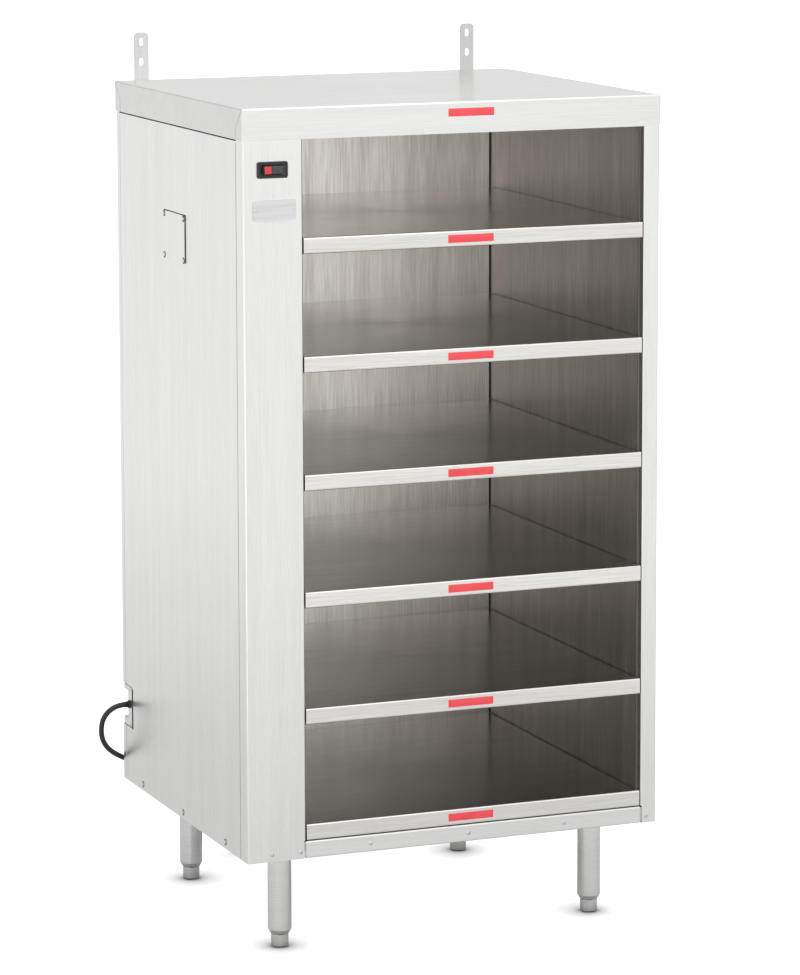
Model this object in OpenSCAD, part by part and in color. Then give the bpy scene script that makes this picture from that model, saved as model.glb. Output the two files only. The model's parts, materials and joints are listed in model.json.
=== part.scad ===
// Open-front heated shelf cabinet that keeps plates and food warm.
// Folded stainless sheet on four tube legs, six heated compartments, controls on the left.
// X runs to the right, Y to the rear, Z up, and the floor is z = 0.

/* [Cabinet body] */
// Width over the side sheets
body_w = 711; // [560:1:900]
// Depth over the front and rear sheets
body_d = 625; // [480:1:800]
// Height from the bottom edge of the body to the top of the cap
body_h = 1195; // [1000:1:1500]
// Thickness of the body sheets
sheet_t = 1.2; // [0.8:0.1:1.6]
// Inside radius of the folds
bend_r = 1.6; // [1.2:0.1:2]
// Width of the open seams between neighbouring sheets
seam = 1.2; // [0.6:0.1:2]

/* [Top cap] */
// Height of the flanges of the cap
cap_h = 50; // [40:1:70]
// Clearance between the cap flanges and the body
cap_fit = 0.3; // [0.2:0.1:0.6]
// Length of the corner tabs that wrap round on to the sides
tab_l = 30; // [20:1:45]
// Width of the cut between a corner tab and the side flange
tab_cut = 0.8; // [0.5:0.1:1.2]
// Open gap between the side panels and the cap flange
cap_gap = 2.4; // [1:0.1:3]

/* [Columns and posts] */
// Width of the control column left of the opening
left_col_w = 98; // [90:1:130]
// Width of the post right of the opening
right_col_w = 28; // [24:1:50]
// How far the front columns return along the sides
front_return = 32; // [24:1:45]
// How far the rear posts return along the sides
rear_return = 18; // [14:1:40]
// Width of the rear flange of a rear post
post_w = 45; // [42:1:70]
// Depth of the folds that face into the opening
jamb_d = 18; // [15:1:30]
// Depth of the folds along the edges of the side panels
panel_fold = 10; // [6:1:16]

/* [Shelves] */
// Clear height of the top compartment
top_bay_h = 154; // [120:1:200]
// Height of the front lip of a shelf
shelf_lip = 26; // [20:1:34]
// Height of the front rail below the bottom shelf
rail_h = 28; // [24:1:40]
// Gap at each end of a shelf lip
lip_gap = 1.6; // [1:0.1:3]
// How far the liner stands inside the edges of the opening
liner_step = 4; // [3.5:0.1:8]
// How far the liner starts behind the front face
liner_back = 10; // [8:0.5:14]
// Gap between the rear liner and the rear face
rear_gap = 10; // [7:0.5:30]
// Width of the angles that carry the shelves
ledge_w = 15; // [10:1:25]
// Thickness of those angles
ledge_t = 1.5; // [1:0.1:2]
// Depth of the hem under a shelf lip
hem_d = 14; // [8:1:20]
// Thickness of a heater mat
mat_t = 2.5; // [1.5:0.1:4]
// Bare border of the deck round a heater mat
mat_border = 40; // [20:1:80]

/* [Legs] */
// Height from the floor to the bottom edge of the body
leg_h = 165; // [130:1:220]
// Outer diameter of a leg tube
leg_od = 38.1; // [32:0.1:50]
// Wall of a leg tube
leg_wall = 1.5; // [1:0.1:2]
// Height of the drawn-in end of a leg
swage_h = 7; // [4:0.5:14]
// Diameter at the drawn-in end
swage_d = 31; // [30:0.5:31.5]
// Height of the part of a foot that shows
foot_h = 22; // [14:0.5:26]
// Size of a foot across its rounded corners
foot_d = 28.7; // [24:0.1:30]
// Diameter of the stem of a foot
stem_d = 12; // [8:0.5:14]
// Length of the stem of a foot
stem_l = 58; // [45:1:80]
// Clearance all round the stem
stem_fit = 0.3; // [0.2:0.05:0.5]
// Distance of the front left leg centre from the left side
leg_left_front = 86; // [60:1:140]
// Distance of the front right leg centre from the right side
leg_right_front = 79; // [60:1:140]
// Distance of the rear left leg centre from the left side
leg_left_rear = 90; // [60:1:140]
// Distance of the rear right leg centre from the right side
leg_right_rear = 127; // [60:1:140]
// Distance of the front leg centres from the front
leg_y_front = 90; // [60:1:140]
// Distance of the rear leg centres from the rear
leg_y_rear = 90; // [60:1:140]
// Side of a leg mounting plate
plate_w = 84; // [76:1:110]
// Thickness of a leg mounting plate
plate_t = 3; // [2:0.5:5]

/* [Wall brackets] */
// Width of a bracket strip
strap_w = 25.4; // [20:0.1:40]
// Thickness of a bracket strip
strap_t = 2.5; // [2:0.1:4]
// How far a bracket stands above the cap
strap_rise = 79.5; // [70:0.5:120]
// Radius of the two top corners of a bracket
strap_corner = 7.5; // [3:0.5:12]
// Length of a bracket below the cap flange
strap_drop = 60; // [40:1:120]
// Distance of the left bracket centre from the left side
strap_left = 47; // [30:1:200]
// Distance of the right bracket centre from the right side
strap_right = 71; // [30:1:200]
// Width of a wall screw slot
slot_w = 7; // [4:0.5:10]
// End to end length of a wall screw slot
slot_l = 13; // [11:0.5:16]
// Height of the lower slot centre above the cap
slot_z = 30; // [20:0.5:35]
// Distance between the slot centres
slot_pitch = 33.5; // [20:0.5:35]

/* [Service cover] */
// Depth of the cover along the side
cover_w = 105; // [80:1:160]
// Height of the cover
cover_h = 78; // [60:1:120]
// Thickness of the cover
cover_t = 1.6; // [1:0.1:3]
// Distance of the cover from the front face
cover_y = 275; // [120:1:320]
// Distance of the cover below the cap flange
cover_drop = 143; // [60:1:300]
// Inset of the cover screws from its edges
cover_inset = 5; // [4:0.5:9]

/* [Switch] */
// Width of the switch frame
switch_w = 50.7; // [44:0.1:60]
// Height of the switch frame
switch_h = 26; // [20:0.1:34]
// Thickness of the switch frame in front of the sheet
switch_t = 2.8; // [1.5:0.1:4]
// Distance of the switch centre from the left side
switch_x = 48; // [34:0.5:60]
// Distance of the switch centre below the cap flange
switch_drop = 46; // [30:1:120]
// Length of the rocker
rocker_l = 33; // [26:0.5:38]
// Height of the rocker
rocker_h = 13; // [9:0.5:16]
// Tilt of the rocker to each side
rocker_tilt = 10; // [6:0.5:12]
// Clearance round the rocker
rocker_fit = 0.4; // [0.3:0.05:0.6]
// Length of the red lens on the rocker
lens_l = 13.5; // [8:0.5:15]
// Diameter of a thermostat
stat_d = 19; // [14:0.5:22]
// Length of the mounting strap of a thermostat
stat_l = 32; // [28:0.5:36]

/* [Cord outlet] */
// Depth of the notch at the rear of the left side
notch_d = 57; // [54:1:80]
// Height of the notch
notch_h = 72; // [68:1:90]
// Height of the notch above the bottom edge of the body
notch_z = 95; // [40:1:160]
// Radius of the rounded corner of the notch
notch_r = 8; // [3:0.5:14]
// How far the cord plate lies behind the side face
plate_back = 2; // [1.6:0.1:4]
// Gap between the notch and the front of the cord plate
plate_gap = 13; // [4:0.5:14]
// Depth of the web of the cord plate
web_d = 20; // [18:0.5:22]
// Height of the lower arm of the cord plate
arm_low = 12; // [8:0.5:14]
// Height of the upper arm of the cord plate
arm_high = 8; // [5:0.5:10]
// Gap above the cord plate
arm_gap = 2.5; // [1.5:0.5:4]
// Depth of the cord pocket into the body
pocket_w = 30; // [20:1:34]
// Diameter of the mains lead
cord_d = 9; // [7:0.5:10]
// Height of the lead outlet above the bottom edge of the body
outlet_z = 134; // [125:1:145]
// Diameter of the collar of the strain relief
collar_d = 14; // [12:0.5:16]
// Thickness of that collar
collar_t = 3; // [2:0.5:4]

/* [Fasteners] */
// Diameter of the pan heads
head_d = 7.6; // [6:0.1:9]
// Height of the pan heads
head_h = 2.2; // [1.5:0.1:3]
// Diameter of the screw shanks
shank_d = 4; // [3:0.1:5]
// Length of the screw shanks
shank_l = 7; // [5:0.5:8]
// Clearance round a screw shank
screw_fit = 0.3; // [0.2:0.05:0.5]

/* [Hidden] */
$fn = 48;
t = sheet_t;
fold_r = bend_r + t;
eps = 1;
cap_over = cap_fit + t;
shelf_count = 6;

// The rocker pivots behind the frame and its open end stands proud of it
pivot_back = 5;
dip = 0.6;
rocker_reach = rocker_l / 2 - 0.2;
rocker_tip = (pivot_back - dip) + rocker_reach * tan(rocker_tilt);
rocker_out = rocker_tip * cos(rocker_tilt) + rocker_reach * sin(rocker_tilt);

// The origin is the middle of the whole cabinet, so the body shifts by half of what
// stands out on one side more than on the other
proud_left = max(cover_t + head_h, cap_over);
proud_right = max(head_h, cap_over);
proud_front = max(switch_t - pivot_back + rocker_out, cap_over, head_h);
proud_rear = cap_over + strap_t + head_h;
x_l = -body_w / 2 + (proud_left - proud_right) / 2;
x_r = x_l + body_w;
y_f = -body_d / 2 + (proud_front - proud_rear) / 2;
y_b = y_f + body_d;
body_z = leg_h;
top_z = leg_h + body_h;
cap_z = top_z - cap_h;
under_cap = top_z - t;
column_top = under_cap - bend_r;
// Tongue of a side panel: how far it is set in, and how far it reaches past the panel's top
tongue_in = 5;
tongue_l = 20;

// Opening, liner and shelves
op_l = x_l + left_col_w;
op_r = x_r - right_col_w;
lin_l = op_l + liner_step;
lin_r = op_r - liner_step;
lin_f = y_f + liner_back;
lin_b = y_b - rear_gap;
ceil_z = cap_z + 2;
rail_top = body_z + rail_h;
pan_top = rail_top - t;
low_shelf = rail_top + seam + shelf_lip;
high_shelf = cap_z - top_bay_h;
pitch = (high_shelf - low_shelf) / (shelf_count - 1);
function shelf_z(n) = high_shelf - (n - 1) * pitch;
deck_l = lin_l + ledge_t;
deck_r = lin_r - ledge_t;
deck_b = lin_b - 0.5;
bottom_fold = 12;
weld_gap = 0.1;

// Fasteners: places on the sides as [y, z], on the front and rear as [x, z]
hole_d = shank_d + 2 * screw_fit;
bolt_d = 6;
bolt_hole = 6.6;
nut_d = 11;
nut_h = 4;
bolt_end = 0.6;
side_row_end = 106;
low_row = 11;
rail_row = 13.5;
rail_step = 169;
foot_row = [for (s = [-1, 0, 1]) [y_f + body_d / 2 + s * (body_d / 2 - side_row_end), body_z + low_row]];
cover_z = cap_z - cover_drop - cover_h;
cover_pts = [for (a = [cover_inset, cover_w - cover_inset], b = [cover_inset, cover_h - cover_inset])
    [y_f + cover_y + a, cover_z + b]];
column_pts = [for (k = [0.42, 0.91]) [x_l + k * left_col_w, body_z + low_row]];
rail_pts = [for (k = [-1, 0, 1]) [(op_l + op_r) / 2 - 13 + k * rail_step, body_z + rail_row]];
post_pts = [[op_r + 10, body_z + low_row]];
front_pts = concat(column_pts, rail_pts, post_pts);
rear_rows = 5;
rear_low = body_z + 40;
rear_high = cap_z - 1.9 * cap_h;
rear_edge = post_w - 8;
rear_pts = [for (x = [x_l + rear_edge, x_r - rear_edge], k = [0 : rear_rows - 1])
    [x, rear_low + k * (rear_high - rear_low) / (rear_rows - 1)]];
strap_xs = [x_l + strap_left, x_r - strap_right];
strap_zs = [cap_z + 12, cap_z + 36];
strap_pts = [for (x = strap_xs, z = strap_zs) [x, z]];
strap_foot_pts = [for (x = strap_xs) [x, cap_z - strap_drop + 15]];

// Cord outlet
notch_y = y_b - notch_d;
notch_low = body_z + notch_z;
notch_high = notch_low + notch_h;
cord_plate_x = x_l + plate_back;
web_y = notch_y + plate_gap;
pocket_y = web_y + web_d;
pocket_low = notch_low + arm_low;
pocket_high = notch_high - arm_gap - arm_high;
outlet_y = web_y + web_d / 2 + 1;
lead_z = body_z + outlet_z;
nose_l = 6;
exit_x = cord_plate_x - collar_t - nose_l;
plate_screw_pts = [[outlet_y - 2, notch_low + 5.5], [outlet_y - 2, pocket_high + arm_high / 2]];
tail_l = 20;

// Switch
switch_cx = x_l + switch_x;
switch_cz = cap_z - switch_drop;
pivot_y = y_f - switch_t + pivot_back;
rocker_r = sqrt(pow(rocker_reach, 2) + pow(rocker_tip, 2));
body_back = 30;

// Legs as [x, y] of their centres
leg_places = [
    [x_l + leg_left_front, y_f + leg_y_front],
    [x_r - leg_right_front, y_f + leg_y_front],
    [x_l + leg_left_rear, y_b - leg_y_rear],
    [x_r - leg_right_rear, y_b - leg_y_rear]];
leg_low = foot_h + 0.3;
plate_top = pan_top - t;
leg_top = plate_top - plate_t;
insert_h = 20;
collar_h = leg_top - body_z - 4;
bolt_off = plate_w / 2 - 9;

// Lead route behind the body, then along the floor to the coil, as hand-laid points
cord_r = cord_d / 2;
floor_z = cord_r + 0.1;
lead_points = [
    [-364, 280.3, 299], [-375, 280.9, 297.2], [-385, 282.5, 292.3], [-393, 285.3, 284.3],
    [-397.8, 288.6, 274.5], [-399.5, 292.2, 263.5], [-399, 296, 250.5], [-395.7, 300.4, 237.8],
    [-389, 305.6, 225.8], [-379.3, 311.3, 215], [-366.8, 317, 205.5], [-351.5, 322.8, 196.5],
    [-332, 328.3, 185.5], [-307, 333, 168], [-280, 336.5, 147], [-253, 339, 125],
    [-227, 341, 101], [-203, 342, 77], [-180, 343, 55.5], [-157, 344, 36.5],
    [-134, 344.6, 21], [-110, 345, 10.5], [-85, 345, 5.6], [-60, 345, floor_z],
    [-35, 345, floor_z], [-10, 345, floor_z]];
coil_start = [0, 345];
route = concat(
    [[exit_x, outlet_y, lead_z]],
    lead_points,
    [[coil_start[0], coil_start[1], floor_z]]);

// Coil of the put-away length: in on the floor, up in the half turn where the spiral
// turns back, and out again on top
coil_pitch = cord_d + 0.6;
coil_layer = cord_d + 0.5;
coil_out = 57;
coil_turns = 2;
coil_steps = 24;
coil_c = [coil_start[0] + cord_d, coil_start[1] + coil_out];
function coil_radius(k) = coil_out - coil_pitch * min(k, 2 * coil_turns - k);
function coil_rise(k) = let (u = min(max((k - coil_turns) * 2 + 0.5, 0), 1)) (1 - cos(180 * u)) / 2;
function coil_point(k) = [
    coil_c[0] + coil_radius(k) * sin(360 * k),
    coil_c[1] - coil_radius(k) * cos(360 * k),
    floor_z + coil_layer * coil_rise(k)];
coil_rings = round(2 * coil_turns * coil_steps);
coil_body = [for (i = [0 : coil_rings]) coil_point(2 * coil_turns * i / coil_rings)];
coil_end = coil_point(2 * coil_turns);
end_angle = 360 * 2 * coil_turns;
end_dir = [cos(end_angle), sin(end_angle), 0];
end_run = 48;
coil_route = concat(
    [[coil_start[0], coil_start[1], floor_z]],
    coil_body,
    [for (s = [end_run / 3, end_run * 2 / 3, end_run]) coil_end + s * end_dir]);
plug_at = coil_end + end_run * end_dir;
plug_r = plug_at[2] - 0.1;

function run_length(p, i = 0) = i + 1 >= len(p) ? 0 : norm(p[i + 1] - p[i]) + run_length(p, i + 1);
function far_pairs(p, skip) = [for (i = [0 : len(p) - 1 - skip]) for (j = [i + skip : len(p) - 1])
    norm(p[i] - p[j])];
echo(lead_length = run_length(route), coil_length = run_length(coil_route));
echo(least_gap_of_coil_to_itself = min(far_pairs(coil_route, 10)) - cord_d);
echo(shelf_pitch = pitch, x_left = x_l, y_front = y_f, exit = route[0], plug = plug_at);

// Swept round tube: a ring of points at each point of a route
function unit(v) = v / norm(v);
function way(p, i) = unit(p[min(i + 1, len(p) - 1)] - p[max(i - 1, 0)]);
function side_of(d) = abs(d[2]) > 0.95 ? [0, 1, 0] : [0, 0, 1];
function ring(c, d, r, n) = let (a = unit(cross(d, side_of(d))), b = cross(a, d))
    [for (k = [0 : n - 1]) c + r * (cos(360 * k / n) * a + sin(360 * k / n) * b)];
module tube(p, r, n) {
    m = len(p);
    points = [for (i = [0 : m - 1]) each ring(p[i], way(p, i), r, n)];
    walls = [for (i = [0 : m - 2], k = [0 : n - 1]) each [
        [i * n + k, (i + 1) * n + k, (i + 1) * n + (k + 1) % n],
        [i * n + k, (i + 1) * n + (k + 1) % n, i * n + (k + 1) % n]]];
    ends = [for (k = [1 : n - 2]) each [[0, k, k + 1], [(m - 1) * n, (m - 1) * n + k + 1, (m - 1) * n + k]]];
    polyhedron(points, concat(walls, ends));
}

// A box from its lowest corner to its highest
module block(a, b) translate(a) cube(b - a);

// A flat outline in Y and Z, drawn out along X
module along_x(x, l) translate([x, 0, 0]) rotate([90, 0, 90]) linear_extrude(l) children();

// A flat outline in X and Z, drawn out along Y
module along_y(y, l) translate([0, y + l, 0]) rotate([90, 0, 0]) linear_extrude(l) children();

// Rectangle with its two corners at the low x side rounded
module round_front(w, h, r) {
    translate([r, 0]) square([w - r, h]);
    translate([0, r]) square([r, h - 2 * r]);
    translate([r, r]) circle(r);
    translate([r, h - r]) circle(r);
}

// Rectangle with all four corners rounded
module round_rect(w, h, r) {
    translate([r, 0]) square([w - 2 * r, h]);
    translate([0, r]) square([w, h - 2 * r]);
    for (x = [r, w - r], y = [r, h - r]) translate([x, y]) circle(r);
}

// Folded channel: web along y at x = 0, legs of two lengths towards +x
module channel(web, low, high) {
    reach = max(low, high);
    difference() {
        round_front(reach, web, fold_r);
        translate([t, t]) round_front(reach, web - 2 * t, bend_r);
        if (low < reach) translate([low, -eps]) square([reach, web / 2 + eps]);
        if (high < reach) translate([high, web / 2]) square([reach, web / 2 + eps]);
    }
}

// Folded angle: outer corner at the origin, legs along +x and +y
module angle(a, b) {
    difference() {
        union() {
            translate([fold_r, 0]) square([a - fold_r, b]);
            translate([0, fold_r]) square([fold_r, b - fold_r]);
            intersection() {
                translate([fold_r, fold_r]) circle(fold_r);
                square(fold_r);
            }
        }
        translate([t, t]) {
            translate([bend_r, 0]) square([a, b]);
            translate([0, bend_r]) square([a, b]);
            translate([bend_r, bend_r]) circle(bend_r);
        }
    }
}

// Holes and screws through a side, a front or a rear face
module holes_x(points, x, l, d) {
    for (p = points) translate([x, p[0], p[1]]) rotate([0, 90, 0]) cylinder(h = l, d = d);
}
module holes_y(points, y, l, d) {
    for (p = points) translate([p[0], y, p[1]]) rotate([-90, 0, 0]) cylinder(h = l, d = d);
}

// Pan head screw, head up, with its seat at the origin
module screw() {
    ball = (pow(head_d / 2, 2) + pow(head_h, 2)) / (2 * head_h);
    intersection() {
        translate([0, 0, head_h - ball]) sphere(ball);
        cylinder(h = head_h + eps, d = head_d);
    }
    translate([0, 0, -shank_l]) cylinder(h = shank_l + head_h / 2, d = shank_d);
}

// Solid lid with its top and corner folds rounded, from z = 0 up
module lid_solid(w, d, h, r) {
    intersection() {
        translate([-w / 2, -d / 2, 0]) linear_extrude(h) round_rect(w, d, r);
        along_x(-w / 2, w) translate([-d / 2, h]) rotate(-90) round_front(h, d, r);
        along_y(-d / 2, d) translate([-w / 2, h]) rotate(-90) round_front(h, w, r);
    }
}

// The cut between a corner tab and the side flange, in depth and height from the top corner
module tab_line() {
    knee = cap_h * 0.64;
    a = fold_r;
    polygon([[a, -a], [tab_l, -knee], [tab_l, -cap_h - eps], [tab_l + tab_cut, -cap_h - eps],
        [tab_l + tab_cut, -knee], [a + tab_cut * 1.5, -a]]);
}

module top_cap() {
    w = body_w + 2 * cap_over;
    d = body_d + 2 * cap_over;
    color("gainsboro") difference() {
        translate([x_l + body_w / 2, y_f + body_d / 2, cap_z]) difference() {
            lid_solid(w, d, cap_h, fold_r);
            translate([0, 0, -eps]) lid_solid(w - 2 * t, d - 2 * t, cap_h - t + eps, bend_r);
            for (s = [-1, 1], e = [0, 1]) mirror([0, e, 0])
                along_x(s * w / 2 - 2 * t, 4 * t) translate([-d / 2, cap_h]) tab_line();
        }
        holes_y(strap_pts, y_b - 4 * t, 8 * t, hole_d);
    }
}

// Lift-off side panel at the left, with its lower edge and both upright edges folded in and
// a set-in tongue that hooks behind the cap
module side_sheet() {
    y0 = y_f + front_return + seam;
    y1 = y_b - rear_return - seam / 2;
    fold_z = rail_top + seam;
    tongue_x = x_l + tongue_in;
    tongue_z = cap_z - tongue_l;
    difference() {
        union() {
            translate([x_l, y0, fold_z]) linear_extrude(cap_z - cap_gap - fold_z)
                channel(y1 - y0, panel_fold, panel_fold);
            block([x_l, y0, body_z], [x_l + t, y1, fold_z]);
            block([x_l, y0, body_z], [x_l + bottom_fold, y1, body_z + t]);
            block([x_l + t, y0 + panel_fold, tongue_z], [tongue_x + t, y1 - panel_fold, tongue_z + t]);
            block([tongue_x, y0 + panel_fold, tongue_z],
                [tongue_x + t, y1 - panel_fold, cap_z + tongue_l]);
        }
        holes_x(foot_row, x_l - eps, t + 2 * eps, hole_d);
    }
}

module left_side_panel() {
    lip = cover_inset * 2 + 2;
    color("gainsboro") difference() {
        side_sheet();
        holes_x(cover_pts, x_l - eps, 2 * t, hole_d);
        block([x_l - eps, y_f + cover_y + lip, cover_z + lip],
            [x_l + 2 * t, y_f + cover_y + cover_w - lip, cover_z + cover_h - lip]);
        along_x(x_l - eps, panel_fold + 2 * eps) notch_outline();
    }
}

module right_side_panel() {
    color("gainsboro") translate([x_l + x_r, 0, 0]) mirror([1, 0, 0]) side_sheet();
}

// Notch at the rear of the side, in depth and height
module notch_outline() {
    difference() {
        translate([notch_y, notch_low]) square([notch_d + eps, notch_h]);
        translate([notch_y, notch_high - notch_r]) square(notch_r);
    }
    translate([notch_y + notch_r, notch_high - notch_r]) circle(notch_r);
}

module control_column() {
    z0 = rail_top + seam;
    color("gainsboro") difference() {
        union() {
            translate([x_l, y_f, z0]) linear_extrude(column_top - z0)
                mirror([1, -1, 0]) channel(left_col_w, front_return, jamb_d);
            translate([x_l, y_f, body_z]) linear_extrude(z0 - body_z)
                intersection() {
                    mirror([1, -1, 0]) channel(left_col_w, front_return, front_return);
                    square([left_col_w - fold_r, front_return]);
                }
            block([x_l + fold_r, y_f + fold_r - bend_r, body_z],
                [op_l - fold_r, y_f + bottom_fold, body_z + t]);
        }
        holes_y(column_pts, y_f - eps, t + 2 * eps, hole_d);
        block([switch_cx - switch_w / 2 + 3, y_f - eps, switch_cz - switch_h / 2 + 2.5],
            [switch_cx + switch_w / 2 - 3, y_f + t + eps, switch_cz + switch_h / 2 - 2.5]);
    }
}

module right_column() {
    z0 = rail_top + seam;
    color("gainsboro") difference() {
        union() {
            translate([op_r, y_f, z0]) linear_extrude(column_top - z0)
                mirror([1, -1, 0]) channel(right_col_w, jamb_d, front_return);
            translate([op_r, y_f, body_z]) linear_extrude(z0 - body_z)
                intersection() {
                    mirror([1, -1, 0]) channel(right_col_w, front_return, front_return);
                    translate([fold_r, 0]) square([right_col_w, front_return]);
                }
            block([op_r + fold_r, y_f + fold_r - bend_r, body_z],
                [x_r - fold_r, y_f + bottom_fold, body_z + t]);
        }
        holes_y(post_pts, y_f - eps, t + 2 * eps, hole_d);
    }
}

// Rear corner post: a folded angle with its side leg flush with the side panel
module post_bar() {
    difference() {
        translate([x_l, y_b - t, body_z]) mirror([0, 1, 0])
            linear_extrude(column_top - body_z) angle(post_w, rear_return - t);
        holes_y(rear_pts, y_b - 3 * t, 3 * t, hole_d);
    }
}

module rear_post_left() {
    color("gainsboro") difference() {
        post_bar();
        along_x(x_l - eps, t + 2 * eps) notch_outline();
        block([x_l - eps, y_b - rear_return - eps, pocket_low],
            [x_l + plate_back + t + pocket_w, y_b + eps, pocket_high]);
        block([x_l - eps, y_b - rear_return - eps, notch_low],
            [x_l + plate_back + 2 * t, y_b + eps, notch_high]);
    }
}

module rear_post_right() {
    color("gainsboro") translate([x_l + x_r, 0, 0]) mirror([1, 0, 0]) post_bar();
}

module rear_panel() {
    color("gainsboro") difference() {
        block([x_l + fold_r, y_b - t, body_z], [x_r - fold_r, y_b, column_top]);
        holes_y(rear_pts, y_b - 2 * t, 3 * t, hole_d);
        holes_y(concat(strap_pts, strap_foot_pts), y_b - 2 * t, 3 * t, hole_d);
        block([x_l, y_b - 2 * t, pocket_low],
            [x_l + plate_back + t + pocket_w, y_b + t, pocket_high]);
        block([x_l, y_b - 2 * t, notch_low], [x_l + plate_back + 2 * t, y_b + t, notch_high]);
    }
}

// Liner sides: a sheet with its front edge turned out to the fold of the column, and the
// spot-welded angles that carry the shelves
module liner_side() {
    translate([lin_l, lin_f, pan_top]) linear_extrude(ceil_z - pan_top)
        mirror([1, 0, 0]) angle(liner_step, lin_b + t - lin_f);
    for (n = [1 : shelf_count]) shelf_angle(shelf_z(n) - shelf_lip);
}

module shelf_angle(z) {
    x0 = lin_l + weld_gap;
    y0 = lin_f + 2 * hem_d;
    y1 = lin_b - 2 * ledge_w;
    block([x0, y0, z - ledge_t], [lin_l + ledge_w, y1, z]);
    block([x0, y0, z - ledge_t], [lin_l + ledge_t, y1, z + shelf_lip / 2]);
}

module liner_left() {
    color("silver") difference() {
        liner_side();
        for (n = [1 : shelf_count]) holes_x([[stat_y, stat_z(n)]], lin_l - 2 * t, 3 * t, stat_hole);
    }
}

module liner_right() {
    color("silver") translate([lin_l + lin_r, 0, 0]) mirror([1, 0, 0]) liner_side();
}

module liner_rear() {
    color("silver") block([lin_l, lin_b, pan_top], [lin_r, lin_b + t, ceil_z]);
}

module liner_top() {
    rise = cap_h / 2;
    color("silver") along_x(op_l, op_r - op_l) translate([y_f, ceil_z]) angle(lin_b + t - y_f, rise);
}

// Shelf deck: one sheet folded down into a lip with a hem, with side and rear flanges
module shelf_deck(n) {
    z = shelf_z(n);
    low = z - shelf_lip;
    step_y = lin_f - 1;
    color("silver") difference() {
        union() {
            along_x(op_l + lip_gap, op_r - op_l - 2 * lip_gap) translate([y_f, low])
                channel(shelf_lip, hem_d, deck_b - y_f);
            block([deck_l, step_y, low], [deck_l + t, deck_b, z - t / 2]);
            block([deck_r - t, step_y, low], [deck_r, deck_b, z - t / 2]);
            block([deck_l, deck_b - t, low], [deck_r, deck_b, z - t / 2]);
        }
        block([op_l, step_y, low - eps], [deck_l, y_b, z + eps]);
        block([deck_r, step_y, low - eps], [op_r, y_b, z + eps]);
    }
}

// Closing tray below a heater: a flat sheet with its sides turned up inside the deck
module shelf_tray(n) {
    low = shelf_z(n) - shelf_lip;
    rise = shelf_lip - t - mat_t - 4;
    color("darkgray") along_y(y_f + hem_d + 0.4, deck_b - t - 0.2 - y_f - hem_d - 0.4)
        translate([deck_l + t, low]) tray_outline(deck_r - deck_l - 2 * t, rise);
}

module tray_outline(w, h) {
    translate([w, 0]) rotate(90) channel(w, h, h);
}

// Heater mat: flat element with rounded corners and a raised lead block
module heater_mat(n) {
    z = shelf_z(n) - t;
    x0 = deck_l + mat_border;
    y0 = y_f + mat_border;
    color("goldenrod") {
        translate([x0, y0, z - mat_t]) linear_extrude(mat_t)
            round_rect(deck_r - mat_border - x0, deck_b - mat_border - y0, 12);
        block([x0 + mat_border * 0.15, y0 + mat_border * 1.5, z - mat_t - 3],
            [x0 + mat_border * 0.75, y0 + mat_border * 2.5, z - mat_t]);
    }
}

// Front rail: a folded channel below the bottom shelf
module base_rail() {
    gap = 0.5;
    color("gainsboro") difference() {
        along_x(op_l + gap, op_r - op_l - 2 * gap) translate([y_f, body_z])
            channel(rail_h, bottom_fold, liner_back - gap);
        holes_y(rail_pts, y_f - eps, t + 2 * eps, hole_d);
    }
}

// Base pan: the floor of the body, with all four edges turned down inside the outer sheets
module base_pan() {
    w = body_w - 2 * t;
    d = body_d - 3 * t;
    h = pan_top - body_z - fold_r;
    color("silver") difference() {
        translate([x_l + t + w / 2, y_f + t + d / 2, pan_top - h]) difference() {
            lid_solid(w, d, h, fold_r);
            translate([0, 0, -eps]) lid_solid(w - 2 * t, d - 2 * t, h - t + eps, bend_r);
        }
        holes_x(foot_row, x_l, 3 * t, hole_d);
        holes_x(foot_row, x_r - 3 * t, 3 * t, hole_d);
        holes_y(front_pts, y_f, 3 * t, hole_d);
        for (p = leg_places, a = [-1, 1], b = [-1, 1])
            translate([p[0] + a * bolt_off, p[1] + b * bolt_off, pan_top - 2 * t])
                cylinder(h = 3 * t, d = bolt_hole);
    }
}

module leg_plates() {
    color("lightgray") for (p = leg_places) translate([p[0], p[1], 0]) difference() {
        union() {
            translate([-plate_w / 2, -plate_w / 2, leg_top]) linear_extrude(plate_t)
                round_rect(plate_w, plate_w, 6);
            translate([0, 0, leg_top - collar_h]) cylinder(h = collar_h, d = leg_od + 7);
        }
        translate([0, 0, leg_top - collar_h - eps]) cylinder(h = collar_h + eps, d = leg_od + 0.3);
        for (a = [-1, 1], b = [-1, 1]) translate([a * bolt_off, b * bolt_off, leg_top - eps])
            cylinder(h = plate_t + 2 * eps, d = bolt_hole);
    }
}

// Bolts and nuts that hold the leg plates to the pan
module base_bolts() {
    color("silver") for (p = leg_places, a = [-1, 1], b = [-1, 1])
        translate([p[0] + a * bolt_off, p[1] + b * bolt_off, 0]) {
            translate([0, 0, leg_top - nut_h]) cylinder(h = nut_h, d = nut_d, $fn = 6);
            translate([0, 0, leg_top - nut_h / 2])
                cylinder(h = nut_h / 2 + plate_t + t + bolt_end, d = bolt_d);
        }
}

// Leg tube with a drawn-in lower end and a pressed-in insert for the foot
module leg(k) {
    r = leg_od / 2;
    bore = stem_d / 2 + stem_fit;
    color("gainsboro") translate([leg_places[k][0], leg_places[k][1], 0]) rotate_extrude()
        polygon([[bore, leg_low], [swage_d / 2 - 0.6, leg_low], [swage_d / 2, leg_low + 0.6],
            [r, leg_low + swage_h], [r, leg_top], [r - leg_wall, leg_top],
            [r - leg_wall, leg_low + insert_h], [bore, leg_low + insert_h]]);
}

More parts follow.
